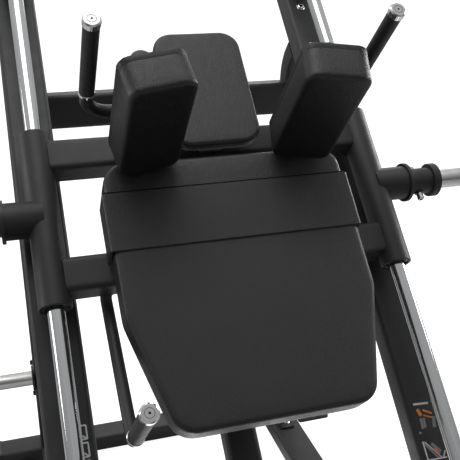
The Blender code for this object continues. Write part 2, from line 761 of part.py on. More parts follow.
def shoulder_pads():
    low, high = SHOULDER_N
    outline = rounded_rectangle(SHOULDER_WIDTH / 2, (high - low) / 2, SHOULDER_CORNER, 5)
    for side, sign in SIDES:
        centre, across, up, through = shoulder_frame(sign)

        def place(a, b, height, centre=centre, across=across, up=up, through=through):
            return centre + across * a + up * b + through * height

        slab(f"{side}_shoulder_pad", outline, place, -SHOULDER_DEPTH / 2, SHOULDER_DEPTH / 2, 0.012,
             "leather", HORN_AXIS)


def shoulder_posts():
    """Each post carries the backing plate of its pad on a short web."""
    low = CROSS_N + CROSS_HALF_N + GAP
    edge = 0.004
    web_half = (0.004, 0.014, 0.060)
    low_n, high_n = SHOULDER_N
    outline = rounded_rectangle(SHOULDER_WIDTH / 2 - PLATE_INSET,
                                (high_n - low_n) / 2 - PLATE_INSET, SHOULDER_CORNER, 4)
    for side, sign in SIDES:
        centre, across, up, through = shoulder_frame(sign)
        foot = on_slope(sign * POST_X, POST_S, 0)
        profile = [(low, POST_RADIUS), (POST_TOP_N - edge, POST_RADIUS),
                   (POST_TOP_N, POST_RADIUS - edge)]
        post = turned_bar(f"{side}_shoulder_post", foot, N_AXIS, X_AXIS, profile, "painted_frame",
                          HORN_AXIS)
        centre = centre + through * (SHOULDER_DEPTH / 2 + GAP)

        def place(a, b, height, centre=centre, across=across, up=up, through=through):
            return centre + across * a + up * b + through * height

        plate = slab("plate", outline, place, 0.0, PLATE_THICKNESS, 0.0, "painted_frame", HORN_AXIS)
        web_centre = centre + across * (foot - centre).dot(across) + through * web_half[1]
        web = block("web", web_centre, (across, through, up), web_half, "painted_frame",
                    HORN_AXIS)
        merge(post, web, "UNION")
        merge(post, plate, "UNION")


def handles():
    section = circle(HANDLE_RADIUS, SMALL_ROUND)
    for side, sign in SIDES:
        start = on_slope(sign * POST_X, POST_S, HANDLE_CROSS_N)
        corner = on_slope(sign * HANDLE_X, POST_S, HANDLE_CROSS_N)
        end = on_slope(sign * HANDLE_X, POST_S, HANDLE_TOP_N)
        at_post = round_cut(on_slope(sign * POST_X, POST_S, 0), N_AXIS, POST_RADIUS + GAP, 1.0)
        bent_tube(f"{side}_handle_bar", [start, corner, end], HANDLE_BEND, section, S_AXIS,
                  "painted_frame", 0.003, (at_post, None), HORN_AXIS, 8)
        grip(f"{side}_handle_grip", on_slope(sign * HANDLE_X, POST_S, 0), HANDLE_GRIP_N,
             HANDLE_RADIUS, HORN_AXIS)


def grip(name, foot, span, bore, origin):
    """A rubber grip pushed over a bar that stands square to the rails."""
    low, high = span
    edge = 0.001
    inner = bore + GAP
    profile = [(low, inner), (low, GRIP_RADIUS - edge), (low + edge, GRIP_RADIUS),
               (high - edge, GRIP_RADIUS), (high, GRIP_RADIUS - edge), (high, inner)]
    turned(name, foot, N_AXIS, S_AXIS, profile, "rubber", origin, SMALL_ROUND)


def loading_horns():
    bore = HORN_RADIUS + GAP
    edge = 0.0015
    root = ROD_X + 0.001
    profile = [(root, bore), (root, SOCKET_RADIUS), (SOCKET_END_X, SOCKET_RADIUS),
               (SOCKET_END_X, FLANGE_RADIUS), (FLANGE_END_X, FLANGE_RADIUS),
               (FLANGE_END_X, HUB_RADIUS), (STOP_X[0], HUB_RADIUS), (STOP_X[0], STOP_RADIUS - edge),
               (STOP_X[0] + edge, STOP_RADIUS), (STOP_X[1] - edge, STOP_RADIUS),
               (STOP_X[1], STOP_RADIUS - edge), (STOP_X[1], bore)]
    bar_start = 0.500
    tip = HORN_TIP_X
    bar = [(bar_start, HORN_RADIUS), (tip - 0.003, HORN_RADIUS), (tip, HORN_RADIUS - 0.003)]
    for side, sign in SIDES:
        socket = turned(f"{side}_horn_socket", HORN_AXIS, X_AXIS * sign, S_AXIS, profile,
                        "painted_frame", HORN_AXIS)
        sleeve = turned_bar("sleeve", on_slope(sign * ROD_X, 0, 0), S_AXIS, X_AXIS,
                            [(SLEEVE_LOWER_S, SLEEVE_RADIUS + GAP),
                             (SLEEVE_UPPER_S, SLEEVE_RADIUS + GAP)],
                            "painted_frame", HORN_AXIS, 40)
        merge(socket, sleeve, "DIFFERENCE")
        turned_bar(f"{side}_horn_bar", HORN_AXIS, X_AXIS * sign, S_AXIS, bar, "stainless", HORN_AXIS)


# ---------------------------------------------------------------- release lever
def release_bar():
    """The handle and its shaft are one bent tube, with the handle on the left side only."""
    corners = [on_slope(-LEVER_X, LEVER_FOOT[0], LEVER_TOP_N), on_slope(-LEVER_X, *LEVER_FOOT),
               on_slope(-LEVER_TOP_X, PIVOT_S, PIVOT_N), on_slope(SHAFT_END_X, PIVOT_S, PIVOT_N)]
    bent_tube("release_bar", corners, LEVER_BEND, circle(LEVER_RADIUS, SMALL_ROUND), S_AXIS,
              "painted_frame", 0.003, (None, None), pivot(), 6)
    grip("release_grip", on_slope(-LEVER_X, LEVER_FOOT[0], 0), RELEASE_GRIP_N, LEVER_RADIUS,
         pivot())


def catch_pawl():
    """The hook on the release shaft: its tip lies behind the catch block."""
    tip_n = SPINE_TOP_N + 0.014
    hook = CATCH_S + GAP
    corners = [(hook, tip_n), (hook + 0.022, tip_n), (hook + 0.030, tip_n + 0.030),
               (PIVOT_S + 0.030, PIVOT_N), (PIVOT_S + 0.008, PIVOT_N + 0.028),
               (PIVOT_S - 0.028, PIVOT_N + 0.008), (PIVOT_S - 0.020, PIVOT_N - 0.028),
               (hook, tip_n + 0.050)]

    def place(a, b, height):
        return on_slope(height, a, b)

    plate = slab("catch_pawl", corners, place, -PAWL_HALF, PAWL_HALF, 0.0, "zinc", pivot())
    hole = turned_bar("hole", pivot(), X_AXIS, S_AXIS,
                      [(-0.03, LEVER_RADIUS + GAP), (0.03, LEVER_RADIUS + GAP)], "zinc", pivot(),
                      SMALL_ROUND)
    merge(plate, hole, "DIFFERENCE")


def build():
    clear_scene()
    rails()
    guide_rods()
    rod_clamps()
    bumpers()
    rear_legs()
    base_frame()
    floor_plates()
    spine()
    catch_block()
    foot_plate()
    foot_gussets()
    storage_horns()
    sleeves()
    bearings()
    carriage_tubes()
    back_pad()
    head_pad()
    shoulder_pads()
    shoulder_posts()
    handles()
    loading_horns()
    release_bar()
    catch_pawl()


build()
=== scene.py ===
import json
import math

import bmesh
import bpy
import numpy as np
from mathutils import Matrix, Vector


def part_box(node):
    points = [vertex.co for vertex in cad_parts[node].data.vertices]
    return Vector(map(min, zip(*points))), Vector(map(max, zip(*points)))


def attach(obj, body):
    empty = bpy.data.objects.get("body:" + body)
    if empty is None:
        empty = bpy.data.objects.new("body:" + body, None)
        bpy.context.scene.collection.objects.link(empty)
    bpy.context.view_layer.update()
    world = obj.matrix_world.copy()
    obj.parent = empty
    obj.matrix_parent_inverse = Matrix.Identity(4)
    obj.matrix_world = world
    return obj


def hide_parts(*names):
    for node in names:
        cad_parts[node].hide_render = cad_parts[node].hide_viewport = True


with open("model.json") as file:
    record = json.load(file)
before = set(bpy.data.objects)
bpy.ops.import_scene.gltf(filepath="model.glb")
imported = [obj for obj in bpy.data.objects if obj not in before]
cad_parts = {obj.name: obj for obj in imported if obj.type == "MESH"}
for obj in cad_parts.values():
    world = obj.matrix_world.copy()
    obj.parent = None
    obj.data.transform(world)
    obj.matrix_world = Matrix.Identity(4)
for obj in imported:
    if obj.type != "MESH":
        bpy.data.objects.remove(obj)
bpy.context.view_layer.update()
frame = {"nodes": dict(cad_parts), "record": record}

# ---------------------------------------------------------------- places, in metres
# Most places are given as (x, s, n) from the axis of the loading horns: x across the machine,
# s up the slope of the rails, and n out of the slope, towards the user.
X_AXIS = Vector((1, 0, 0))
Y_AXIS = Vector((0, 1, 0))
Z_AXIS = Vector((0, 0, 1))
S_AXIS = Vector((0, 1, 1)).normalized()
N_AXIS = Vector((0, -1, 1)).normalized()
SIDES = (("left", -1.0), ("right", 1.0))


def middle(name):
    """Centre of a node's box in y and z, on the machine's middle plane."""
    low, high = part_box(name)
    return Vector((0, (low.y + high.y) / 2, (low.z + high.z) / 2))


HORN_AXIS = middle("left_horn_bar")

RAIL_X = 0.427
RAIL_FACE_N = -0.070
ROD_X = 0.425
BASE_TOP = 0.068
FLOOR_PLATE_TOP = 0.0077
JOINT_PLATE = 0.0065
LEG_LEAN = 0.13
LEG_TOP_Y, LEG_TOP_Z = 0.540, 1.386
SLEEVE_ENDS = (-0.227, 0.223)
HANDLE_X, HANDLE_S = 0.317, 0.151
LEVER_X, LEVER_S = -0.3125, -0.556
SHOULDER_X, SHOULDER_S = 0.1915, 0.076
SHOULDER_TURN = math.radians(8.5)
SHOULDER_LEAN = math.radians(1.75)
SHOULDER_N = (0.130, 0.454)
PIVOT_S, PIVOT_N = -0.160, -0.0808
HUB_MIDDLE_X = 0.5545
HORN_END_X = 0.850
CAP_REACH = 0.006
PEG_RADIUS = 0.0262


def on_slope(x, s, n):
    """A point by its place across, up and out of the slope."""
    return HORN_AXIS + X_AXIS * x + S_AXIS * s + N_AXIS * n


def upright(x, y, z):
    """A point by its place across, along the floor from the horns' axis, and above the floor."""
    return Vector((x, HORN_AXIS.y + y, z))


# ---------------------------------------------------------------- camera, light and floor
CAMERA_FROM_HORNS = Vector((-0.499, -1.726, 0.6215))
CAMERA_LOOK = Vector((0.2738, 0.8907, -0.3627)).normalized()
LIT_POINT = Vector((0, 0.3, 1.1))
SKY_TOP = (0.08, 0.50, 0.86)
SKY_SHADES = ((0.0, 0.03), (0.30, 0.10), (0.45, 0.34), (0.56, 0.50), (0.68, 0.64), (0.82, 0.80),
              (1.0, 1.0))


def aim(item, forward, up=Z_AXIS):
    """Turns a camera or lamp to look along forward."""
    right = forward.cross(up).normalized()
    turn = Matrix((right, right.cross(forward), -forward)).transposed()
    item.rotation_euler = turn.to_euler()


def add_camera():
    data = bpy.data.cameras.new("camera")
    data.sensor_width = 36.0
    data.lens = 59.44
    camera = bpy.data.objects.new("camera", data)
    camera.location = HORN_AXIS + CAMERA_FROM_HORNS
    aim(camera, CAMERA_LOOK)
    bpy.context.scene.collection.objects.link(camera)
    bpy.context.scene.camera = camera


def add_area(name, place, size, power, target=LIT_POINT):
    """A soft rectangular lamp, aimed at the carriage."""
    data = bpy.data.lights.new(name, "AREA")
    data.shape = "RECTANGLE"
    data.size, data.size_y = size
    data.energy = power
    lamp = bpy.data.objects.new(name, data)
    lamp.location = place
    aim(lamp, (target - Vector(place)).normalized(), Vector((0.01, 1, 0.02)))
    bpy.context.scene.collection.objects.link(lamp)


def add_world():
    """White to the camera. To the object a soft sky, dark below and brightest high at the back."""
    world = bpy.data.worlds.new("studio")
    world.use_nodes = True
    bpy.context.scene.world = world
    tree = world.node_tree
    tree.nodes.clear()
    out = tree.nodes.new("ShaderNodeOutputWorld")
    mix = tree.nodes.new("ShaderNodeMixShader")
    path = tree.nodes.new("ShaderNodeLightPath")
    seen = tree.nodes.new("ShaderNodeBackground")
    seen.inputs["Color"].default_value = (1, 1, 1, 1)
    seen.inputs["Strength"].default_value = 1.0
    lit = tree.nodes.new("ShaderNodeBackground")
    ramp = tree.nodes.new("ShaderNodeValToRGB")
    height = tree.nodes.new("ShaderNodeVectorMath")
    height.operation = "DOT_PRODUCT"
    height.inputs[1].default_value = SKY_TOP
    place = tree.nodes.new("ShaderNodeTexCoord")
    scale = tree.nodes.new("ShaderNodeMapRange")
    scale.inputs["From Min"].default_value = -1.0
    tree.links.new(place.outputs["Generated"], height.inputs[0])
    tree.links.new(height.outputs["Value"], scale.inputs["Value"])
    tree.links.new(scale.outputs["Result"], ramp.inputs["Fac"])
    tree.links.new(ramp.outputs["Color"], lit.inputs["Color"])
    while len(ramp.color_ramp.elements) < len(SKY_SHADES):
        ramp.color_ramp.elements.new(0.5)
    for element, (position, value) in zip(ramp.color_ramp.elements, SKY_SHADES):
        element.position = position
        element.color = (value, value, value, 1)
    lit.inputs["Strength"].default_value = 0.66
    tree.links.new(path.outputs["Is Camera Ray"], mix.inputs["Fac"])
    tree.links.new(lit.outputs[0], mix.inputs[1])
    tree.links.new(seen.outputs[0], mix.inputs[2])
    tree.links.new(mix.outputs[0], out.inputs["Surface"])


def add_floor():
    """A pale floor that throws no light up. Reflections see its emission as a painted glow: a pool of
    light under the seat that fades out further away.
    """
    mesh = bpy.data.meshes.new("floor")
    reach = 30.0
    mesh.from_pydata([(-reach, -reach, 0), (reach, -reach, 0), (reach, reach, 0), (-reach, reach, 0)],
                     [], [(0, 1, 2, 3)])
    floor = bpy.data.objects.new("floor", mesh)
    bpy.context.scene.collection.objects.link(floor)
    paint = bpy.data.materials.new("pale_floor")
    paint.use_nodes = True
    tree = paint.node_tree
    shader = tree.nodes["Principled BSDF"]
    shader.inputs["Base Color"].default_value = (0.40, 0.40, 0.40, 1)
    shader.inputs["Roughness"].default_value = 0.9
    shader.inputs["Emission Color"].default_value = (1, 1, 1, 1)
    place = tree.nodes.new("ShaderNodeTexCoord")
    centre = tree.nodes.new("ShaderNodeVectorMath")
    centre.operation = "DISTANCE"
    centre.inputs[1].default_value = (0.2, 0.1, 0.0)
    # Painted glow: emission strength 1.30 under the seat, falling to 0.08 further out, seen only in
    # reflections.
    reflected_glow_pool = tree.nodes.new("ShaderNodeMapRange")
    reflected_glow_pool.inputs["From Min"].default_value = 0.45
    reflected_glow_pool.inputs["From Max"].default_value = 0.85
    reflected_glow_pool.inputs["To Min"].default_value = 1.30
    reflected_glow_pool.inputs["To Max"].default_value = 0.08
    path = tree.nodes.new("ShaderNodeLightPath")
    glow = tree.nodes.new("ShaderNodeMix")
    glow.inputs["B"].default_value = 0.95
    tree.links.new(place.outputs["Object"], centre.inputs[0])
    tree.links.new(centre.outputs["Value"], reflected_glow_pool.inputs["Value"])
    tree.links.new(path.outputs["Is Camera Ray"], glow.inputs["Factor"])
    tree.links.new(reflected_glow_pool.outputs["Result"], glow.inputs["A"])
    tree.links.new(glow.outputs["Result"], shader.inputs["Emission Strength"])
    mesh.materials.append(paint)
    floor.visible_diffuse = False


def add_stage():
    add_camera()
    add_world()
    add_floor()
    add_area("key", (-0.4, 0.4, 4.4), (2.4, 2.4), 46, Vector((0, 0.3, 1.2)))
    add_area("back", (0.6, 3.4, 3.0), (3.0, 1.2), 30)
    add_area("left_rim", (-3.4, 1.2, 1.9), (0.9, 2.4), 26)
    add_area("right_rim", (3.4, 1.2, 1.9), (0.9, 2.4), 64)
    bpy.context.scene.view_settings.view_transform = "Standard"


# ---------------------------------------------------------------- materials
class Shader:
    """A material under construction: a Principled shader and short ways to feed it."""

    def __init__(self, name, colour, rough, metal=0.0, **sockets):
        self.material = bpy.data.materials.new(name)
        self.material.use_nodes = True
        self.tree = self.material.node_tree
        self.shader = self.tree.nodes["Principled BSDF"]
        self.colour = colour
        self.shader.inputs["Base Color"].default_value = (*colour, 1)
        self.shader.inputs["Roughness"].default_value = rough
        self.shader.inputs["Metallic"].default_value = metal
        for socket, value in sockets.items():
            self.shader.inputs[socket.replace("_", " ")].default_value = value
        self.place = self.node("ShaderNodeTexCoord").outputs["Object"]
        self.normal = None

    def node(self, kind, **values):
        """A node with its properties, or else its input sockets, set by name."""
        made = self.tree.nodes.new(kind)
        for key, value in values.items():
            if hasattr(made, key):
                setattr(made, key, value)
            else:
                made.inputs[key.replace("_", " ")].default_value = value
        return made

    def link(self, start, end):
        self.tree.links.new(start, end)

    def mapped(self, scale, turn=(0, 0, 0)):
        """Object coordinates scaled along each axis, for a grain that runs one way."""
        made = self.node("ShaderNodeMapping")
        made.inputs["Scale"].default_value = scale
        made.inputs["Rotation"].default_value = turn
        self.link(self.place, made.inputs["Vector"])
        return made.outputs["Vector"]

    def noise(self, scale, detail=2.0, place=None):
        made = self.node("ShaderNodeTexNoise", Scale=scale, Detail=detail)
        self.link(place or self.place, made.inputs["Vector"])
        return made.outputs["Fac"]

    def cells(self, scale):
        made = self.node("ShaderNodeTexVoronoi", Scale=scale)
        self.link(self.place, made.inputs["Vector"])
        return made.outputs["Distance"]

    def spread(self, source, low, high):
        """Stretches the middle of a noise over a range."""
        made = self.node("ShaderNodeMapRange")
        made.inputs["From Min"].default_value = 0.3
        made.inputs["From Max"].default_value = 0.7
        made.inputs["To Min"].default_value = low
        made.inputs["To Max"].default_value = high
        self.link(source, made.inputs["Value"])
        return made.outputs["Result"]

    def tint(self, source, low, high):
        """Lets the base colour wander between two multiples of itself."""
        ramp = self.node("ShaderNodeMix", data_type="RGBA")
        ramp.inputs["A"].default_value = (*[c * low for c in self.colour], 1)
        ramp.inputs["B"].default_value = (*[c * high for c in self.colour], 1)
        self.link(self.spread(source, 0.0, 1.0), ramp.inputs["Factor"])
        self.link(ramp.outputs["Result"], self.shader.inputs["Base Color"])
        return self

    def roughen(self, source, low, high):
        """Lets the roughness wander between two values."""
        self.link(self.spread(source, low, high), self.shader.inputs["Roughness"])
        return self

    def bump(self, source, distance, strength=1.0):
        """Adds relief in metres on top of the bumps already there."""
        made = self.node("ShaderNodeBump", Strength=strength, Distance=distance)
        self.link(source, made.inputs["Height"])
        if self.normal:
            self.link(self.normal, made.inputs["Normal"])
        self.normal = made.outputs["Normal"]
        self.link(self.normal, self.shader.inputs["Normal"])
        return self


def powder_coat():
    """Charcoal powder coat with a fine orange peel."""
    s = Shader("powder_coat", (0.027, 0.0273, 0.0282), 0.50, IOR=1.45)
    s.tint(s.noise(4.0, 3.0), 0.90, 1.10)
    s.roughen(s.noise(35.0, 3.0), 0.46, 0.54)
    s.bump(s.noise(420.0, 2.0), 0.00012, 0.55)
    s.bump(s.noise(1600.0, 1.0), 0.00005, 0.5)
    return s.material


def leatherette():
    """Matt black upholstery with a pebbled grain."""
    s = Shader("leatherette", (0.0165, 0.0166, 0.0170), 0.42, IOR=1.52)
    s.tint(s.noise(7.0, 3.0), 0.88, 1.12)
    s.roughen(s.noise(60.0, 3.0), 0.37, 0.48)
    lean = s.mapped((1.0, 0.35, 0.35), (0.4, 0.3, 0.75))
    s.bump(s.noise(700.0, 3.0, lean), 0.00085, 1.0)
    s.bump(s.cells(900.0), 0.00025, 0.5)
    s.bump(s.noise(230.0, 2.0, lean), 0.00060, 0.55)
    s.bump(s.noise(45.0, 2.0), 0.00025, 0.25)
    return s.material


def chrome():
    """Hard chrome with faint polishing marks along it."""
    s = Shader("hard_chrome", (0.66, 0.67, 0.68), 0.10, 1.0)
    along = s.mapped((260.0, 5.0, 5.0))
    s.tint(s.noise(1.0, 2.0, along), 0.90, 1.04)
    s.roughen(s.noise(2.5, 2.0), 0.07, 0.15)
    s.bump(s.noise(3.0, 2.0, along), 0.00002, 0.4)
    return s.material


def stainless():
    """Plain turned steel for the bars that carry plates."""
    s = Shader("turned_stainless", (0.66, 0.66, 0.65), 0.32, 1.0, Anisotropic=0.5)
    rings = s.mapped((1.0, 0.02, 0.02))
    s.bump(s.noise(1400.0, 2.0, rings), 0.00002, 0.5)
    s.tint(s.noise(9.0, 3.0), 0.90, 1.06)
    s.roughen(s.noise(60.0, 2.0, rings), 0.28, 0.38)
    return s.material


def zinc():
    """Dull plating on nuts, washers and rings."""
    s = Shader("zinc_plate", (0.52, 0.52, 0.50), 0.34, 1.0)
    s.tint(s.noise(70.0, 4.0), 0.85, 1.08)
    s.roughen(s.noise(120.0, 3.0), 0.26, 0.44)
    s.bump(s.noise(700.0, 2.0), 0.00004, 0.5)
    return s.material


def bright_chrome():
    """Polished chrome on caps and bolts."""
    s = Shader("bright_chrome", (0.84, 0.84, 0.85), 0.12, 1.0)
    s.tint(s.noise(40.0, 2.0), 0.97, 1.02)
    s.roughen(s.noise(90.0, 2.0), 0.09, 0.17)
    s.bump(s.noise(500.0, 2.0), 0.00001, 0.3)
    return s.material


def satin_chrome():
    """Brushed chrome on the flat of the grip caps."""
    s = Shader("satin_chrome", (0.60, 0.60, 0.61), 0.36, 1.0)
    s.tint(s.noise(60.0, 2.0), 0.96, 1.03)
    s.roughen(s.noise(120.0, 2.0), 0.32, 0.40)
    s.bump(s.noise(900.0, 2.0), 0.00002, 0.4)
    return s.material


def rubber():
    """Moulded rubber on grips and bumpers."""
    s = Shader("moulded_rubber", (0.014, 0.014, 0.0145), 0.52)
    s.tint(s.noise(30.0, 3.0), 0.85, 1.2)
    s.roughen(s.noise(80.0, 3.0), 0.44, 0.60)
    s.bump(s.noise(900.0, 2.0), 0.00010, 0.6)
    return s.material


def black_plastic():
    """Moulded plastic of the end caps."""
    s = Shader("black_plastic", (0.020, 0.020, 0.021), 0.40)
    s.tint(s.noise(20.0, 2.0), 0.9, 1.1)
    s.roughen(s.noise(140.0, 2.0), 0.34, 0.46)
    s.bump(s.cells(1300.0), 0.00008, 0.5)
    return s.material


def black_steel():
    """Blackened steel of plates and small screws."""
    s = Shader("black_steel", (0.016, 0.016, 0.017), 0.38, 0.3)
    s.tint(s.noise(60.0, 3.0), 0.85, 1.2)
    s.roughen(s.noise(110.0, 3.0), 0.30, 0.46)
    s.bump(s.noise(900.0, 2.0), 0.00006, 0.5)
    return s.material


def board_paint():
    """Painted plywood behind the pads."""
    s = Shader("board_paint", (0.016, 0.016, 0.016), 0.62)
    s.tint(s.noise(18.0, 3.0), 0.8, 1.2)
    grain = s.mapped((40.0, 4.0, 4.0))
    s.roughen(s.noise(1.0, 3.0, grain), 0.55, 0.72)
    s.bump(s.noise(3.0, 3.0, grain), 0.0002, 0.5)
    return s.material


def tread_paint():
    """Gritty paint on the standing plate."""
    s = Shader("tread_paint", (0.030, 0.030, 0.031), 0.55)
    s.tint(s.noise(15.0, 3.0), 0.85, 1.15)
    s.roughen(s.noise(200.0, 3.0), 0.48, 0.66)
    s.bump(s.cells(900.0), 0.0004, 0.7)
    return s.material


def band_shadow_paint():
    """Near-black, barely glossy strip: painted shadow along the top edge of the back pad's band."""
    s = Shader("band_shadow_paint", (0.004, 0.004, 0.004), 0.85, Specular_IOR_Level=0.15)
    s.tint(s.noise(90.0, 2.0), 0.85, 1.15)
    s.roughen(s.noise(150.0, 2.0), 0.80, 0.92)
    s.bump(s.noise(900.0, 2.0), 0.0001, 0.5)
    return s.material


def print_ink(name, colour):
    """Printed film of one colour."""
    s = Shader(name, colour, 0.38)
    s.tint(s.noise(160.0, 2.0), 0.94, 1.05)
    s.roughen(s.noise(240.0, 2.0), 0.33, 0.45)
    s.bump(s.noise(700.0, 2.0), 0.00003, 0.4)
    return s.material


PAINT = powder_coat()
LEATHER = leatherette()
CHROME = chrome()
BRIGHT = bright_chrome()
SATIN = satin_chrome()
STAINLESS = stainless()
ZINC = zinc()
RUBBER = rubber()
PLASTIC = black_plastic()
BLACK_STEEL = black_steel()
BOARD = board_paint()
TREAD = tread_paint()
# Near-black material of the painted shadow above the back pad's band.
BAND_SHADOW = band_shadow_paint()
INK_BLACK = print_ink("label_black", (0.022, 0.022, 0.023))
INK_WHITE = print_ink("label_white", (0.62, 0.62, 0.62))
INK_GREY = print_ink("label_grey", (0.22, 0.22, 0.22))
INK_ORANGE = print_ink("label_orange", (0.72, 0.20, 0.035))

SLOT_MATERIALS = {"painted_frame": PAINT, "chrome": CHROME, "stainless": STAINLESS, "zinc": ZINC,
                  "rubber": RUBBER, "leather": LEATHER, "board": BOARD, "tread": TREAD}


# ---------------------------------------------------------------- outlines
def arc(centre, radius, start, end, steps):
    """Points along an arc, with both ends."""
    angles = [start + (end - start) * i / steps for i in range(steps + 1)]
    return [(centre[0] + radius * math.cos(t), centre[1] + radius * math.sin(t)) for t in angles]


def rounded_polygon(corners, radii, steps=6):
    """Counter-clockwise outline of a convex polygon with each corner rounded by its radius."""
    outline = []
    count = len(corners)
    for i, corner in enumerate(corners):
        here = Vector(corner)
        back = (Vector(corners[i - 1]) - here).normalized()
        ahead = (Vector(corners[(i + 1) % count]) - here).normalized()
        half = math.acos(max(-1.0, min(1.0, back.dot(ahead)))) / 2.0
        centre = here + (back + ahead).normalized() * radii[i] / math.sin(half)
        first = here + back * radii[i] / math.tan(half) - centre
        last = here + ahead * radii[i] / math.tan(half) - centre
        start = math.atan2(first.y, first.x)
        sweep = math.atan2(first.x * last.y - first.y * last.x, first.dot(last))
        outline += arc(centre, radii[i], start, start + sweep, steps)
    return outline


def rounded_rectangle(half_a, half_b, corner, steps=5):
    corners = [(half_a, -half_b), (half_a, half_b), (-half_a, half_b), (-half_a, -half_b)]
    return rounded_polygon(corners, [corner] * 4, steps)


def inset(outline, amount):
    """The outline moved inwards by an amount."""
    moved = []
    count = len(outline)
    for i in range(count):
        here = Vector(outline[i])
        before = (here - Vector(outline[i - 1])).normalized()
        after = (Vector(outline[(i + 1) % count]) - here).normalized()
        normal = Vector((-(before.y + after.y), before.x + after.x)).normalized()
        stretch = 1.0 / max(0.3, normal.dot(Vector((-before.y, before.x))))
        moved.append(tuple(here + normal * amount * stretch))
    return moved


def circle(axis, sides):
    """Unit vectors spaced evenly round an axis, each with its angle."""
    across = axis.orthogonal().normalized()
    up = axis.cross(across)
    angles = [2 * math.pi * i / sides for i in range(sides)]
    return [(across * math.cos(t) + up * math.sin(t), t) for t in angles]


def hexagon_reach(angle):
    """How far a hexagon reaches at an angle, where its corners reach 1."""
    return math.cos(math.pi / 6) / math.cos(angle % (math.pi / 3) - math.pi / 6)


# ---------------------------------------------------------------- meshes
class Build:
    """Collects points and faces for one piece, each face with a material."""

    def __init__(self):
        self.points, self.faces, self.paints, self.materials = [], [], [], []

    def add(self, points, faces, paint):
        if paint not in self.materials:
            self.materials.append(paint)
        offset = len(self.points)
        self.points += [tuple(point) for point in points]
        self.faces += [tuple(i + offset for i in face) for face in faces]
        self.paints += [self.materials.index(paint)] * len(faces)

    def rings(self, rings, paint, closed=True, loop=False):
        """Strips between rings of points. Closed gives flat ends, loop joins the last to the first."""
        size = len(rings[0])
        points = [point for ring in rings for point in ring]
        faces = []
        count = len(rings)
        for ring in range(count if loop else count - 1):
            low, high = ring * size, ((ring + 1) % count) * size
            faces += [(low + i, low + (i + 1) % size, high + (i + 1) % size, high + i)
                      for i in range(size)]
        if closed and not loop:
            faces.append(tuple(reversed(range(size))))
            faces.append(tuple((count - 1) * size + i for i in range(size)))
        self.add(points, faces, paint)

    def turned(self, centre, axis, profile, paint, sides=40, loop=False):
        """A turned shape from (along, radius) pairs. Loop makes it a ring with a bore."""
        axis = axis.normalized()
        spokes = circle(axis, sides)
        rings = [[centre + axis * along + spoke * radius for spoke, _ in spokes]
                 for along, radius in profile]
        self.rings(rings, paint, loop=loop)

    def socket_head(self, centre, axis, radius, height, paint, dark):
        """A button head with a hexagon socket; the socket's walls and floor take the dark material,
        painted shade in the recess.
        """
        axis = axis.normalized()
        sides = 24
        spokes = circle(axis, sides)
        dome = [(-0.001, 1.0), (height * 0.25, 1.0), (height * 0.62, 0.93), (height * 0.88, 0.76),
                (height, 0.56)]
        socket = [(height * 0.97, 0.52), (height * 0.25, 0.50)]
        rings = [[centre + axis * along + spoke * (radius * reach) for spoke, _ in spokes]
                 for along, reach in dome]
        rings += [[centre + axis * along + spoke * (radius * reach * hexagon_reach(angle))
                   for spoke, angle in spokes] for along, reach in socket]
        self.rings(rings[:6], paint, closed=False)
        # Painted shade: the socket's walls and floor in the dark material.
        self.rings(rings[5:], dark, closed=False)
        self.add(rings[6], [tuple(range(sides))], dark)
        self.add(rings[0], [tuple(reversed(range(sides)))], paint)

    def hex_head(self, centre, axis, radius, height, paint, washer=None):
        """A hexagon head, with a washer if its material is given."""
        axis = axis.normalized()
        base = 0.0
        if washer:
            base = 0.0016
            self.turned(centre, axis, [(-0.0005, radius * 1.25), (base * 0.7, radius * 1.25),
                                       (base, radius * 1.18), (base, radius * 0.5)], washer, 28)
        spokes = circle(axis, 24)
        flanks = [(base - 0.0004, 0.97), (base + height * 0.06, 1.0), (base + height * 0.82, 1.0)]
        crown = [(base + height, 0.86 * 0.95), (base + height * 0.98, 0.45 * 0.95)]
        rings = [[centre + axis * along + spoke * (radius * min(hexagon_reach(angle), reach))
                  for spoke, angle in spokes] for along, reach in flanks]
        rings += [[centre + axis * along + spoke * (radius * reach) for spoke, _ in spokes]
                  for along, reach in crown]
        self.rings(rings, paint)

    def slab(self, outline, place, low, high, low_edge, high_edge, paint, steps=3):
        """An outline raised from low to high, with a round edge at each end."""
        turns = [math.pi / 2 * i / steps for i in range(steps + 1)]
        levels = [(low + low_edge * (1 - math.cos(t)), low_edge * (1 - math.sin(t))) for t in turns]
        levels += [(high - high_edge * (1 - math.cos(t)), high_edge * (1 - math.sin(t)))
                   for t in reversed(turns)]
        self.rings([[place(a, b, height) for a, b in inset(outline, draw)]
                    for height, draw in levels], paint)

    def tube(self, path, radius, paint, sides=12):
        """A round bar along points."""
        rings = []
        side = None
        for i, point in enumerate(path):
            ahead = path[min(i + 1, len(path) - 1)]
            behind = path[max(i - 1, 0)]
            direction = (ahead - behind).normalized()
            side = side or direction.orthogonal()
            side = (side - direction * side.dot(direction)).normalized()
            up = direction.cross(side)
            rings.append([point + side * (radius * math.cos(2 * math.pi * k / sides))
                          + up * (radius * math.sin(2 * math.pi * k / sides)) for k in range(sides)])
        self.rings(rings, paint)

    def piece(self, name, body, crease=32.0):
        """Makes the object, sharp where faces meet at more than the crease, and rides it on a body."""
        mesh = bpy.data.meshes.new(name)
        mesh.from_pydata(self.points, [], self.faces)
        for paint in self.materials:
            mesh.materials.append(paint)
        for face, paint in zip(mesh.polygons, self.paints):
            face.material_index = paint
        shape = bmesh.new()
        shape.from_mesh(mesh)
        bmesh.ops.recalc_face_normals(shape, faces=shape.faces)
        shape.to_mesh(mesh)
        shape.free()
        mesh.shade_smooth()
        mesh.set_sharp_from_angle(angle=math.radians(crease))
        made = bpy.data.objects.new(name, mesh)
        bpy.context.scene.collection.objects.link(made)
        if body:
            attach(made, body)
        return made


# ---------------------------------------------------------------- CAD nodes that stay
PADS = ("back_pad", "head_pad", "left_shoulder_pad", "right_shoulder_pad")
STORAGE_COLLAR = 0.0066


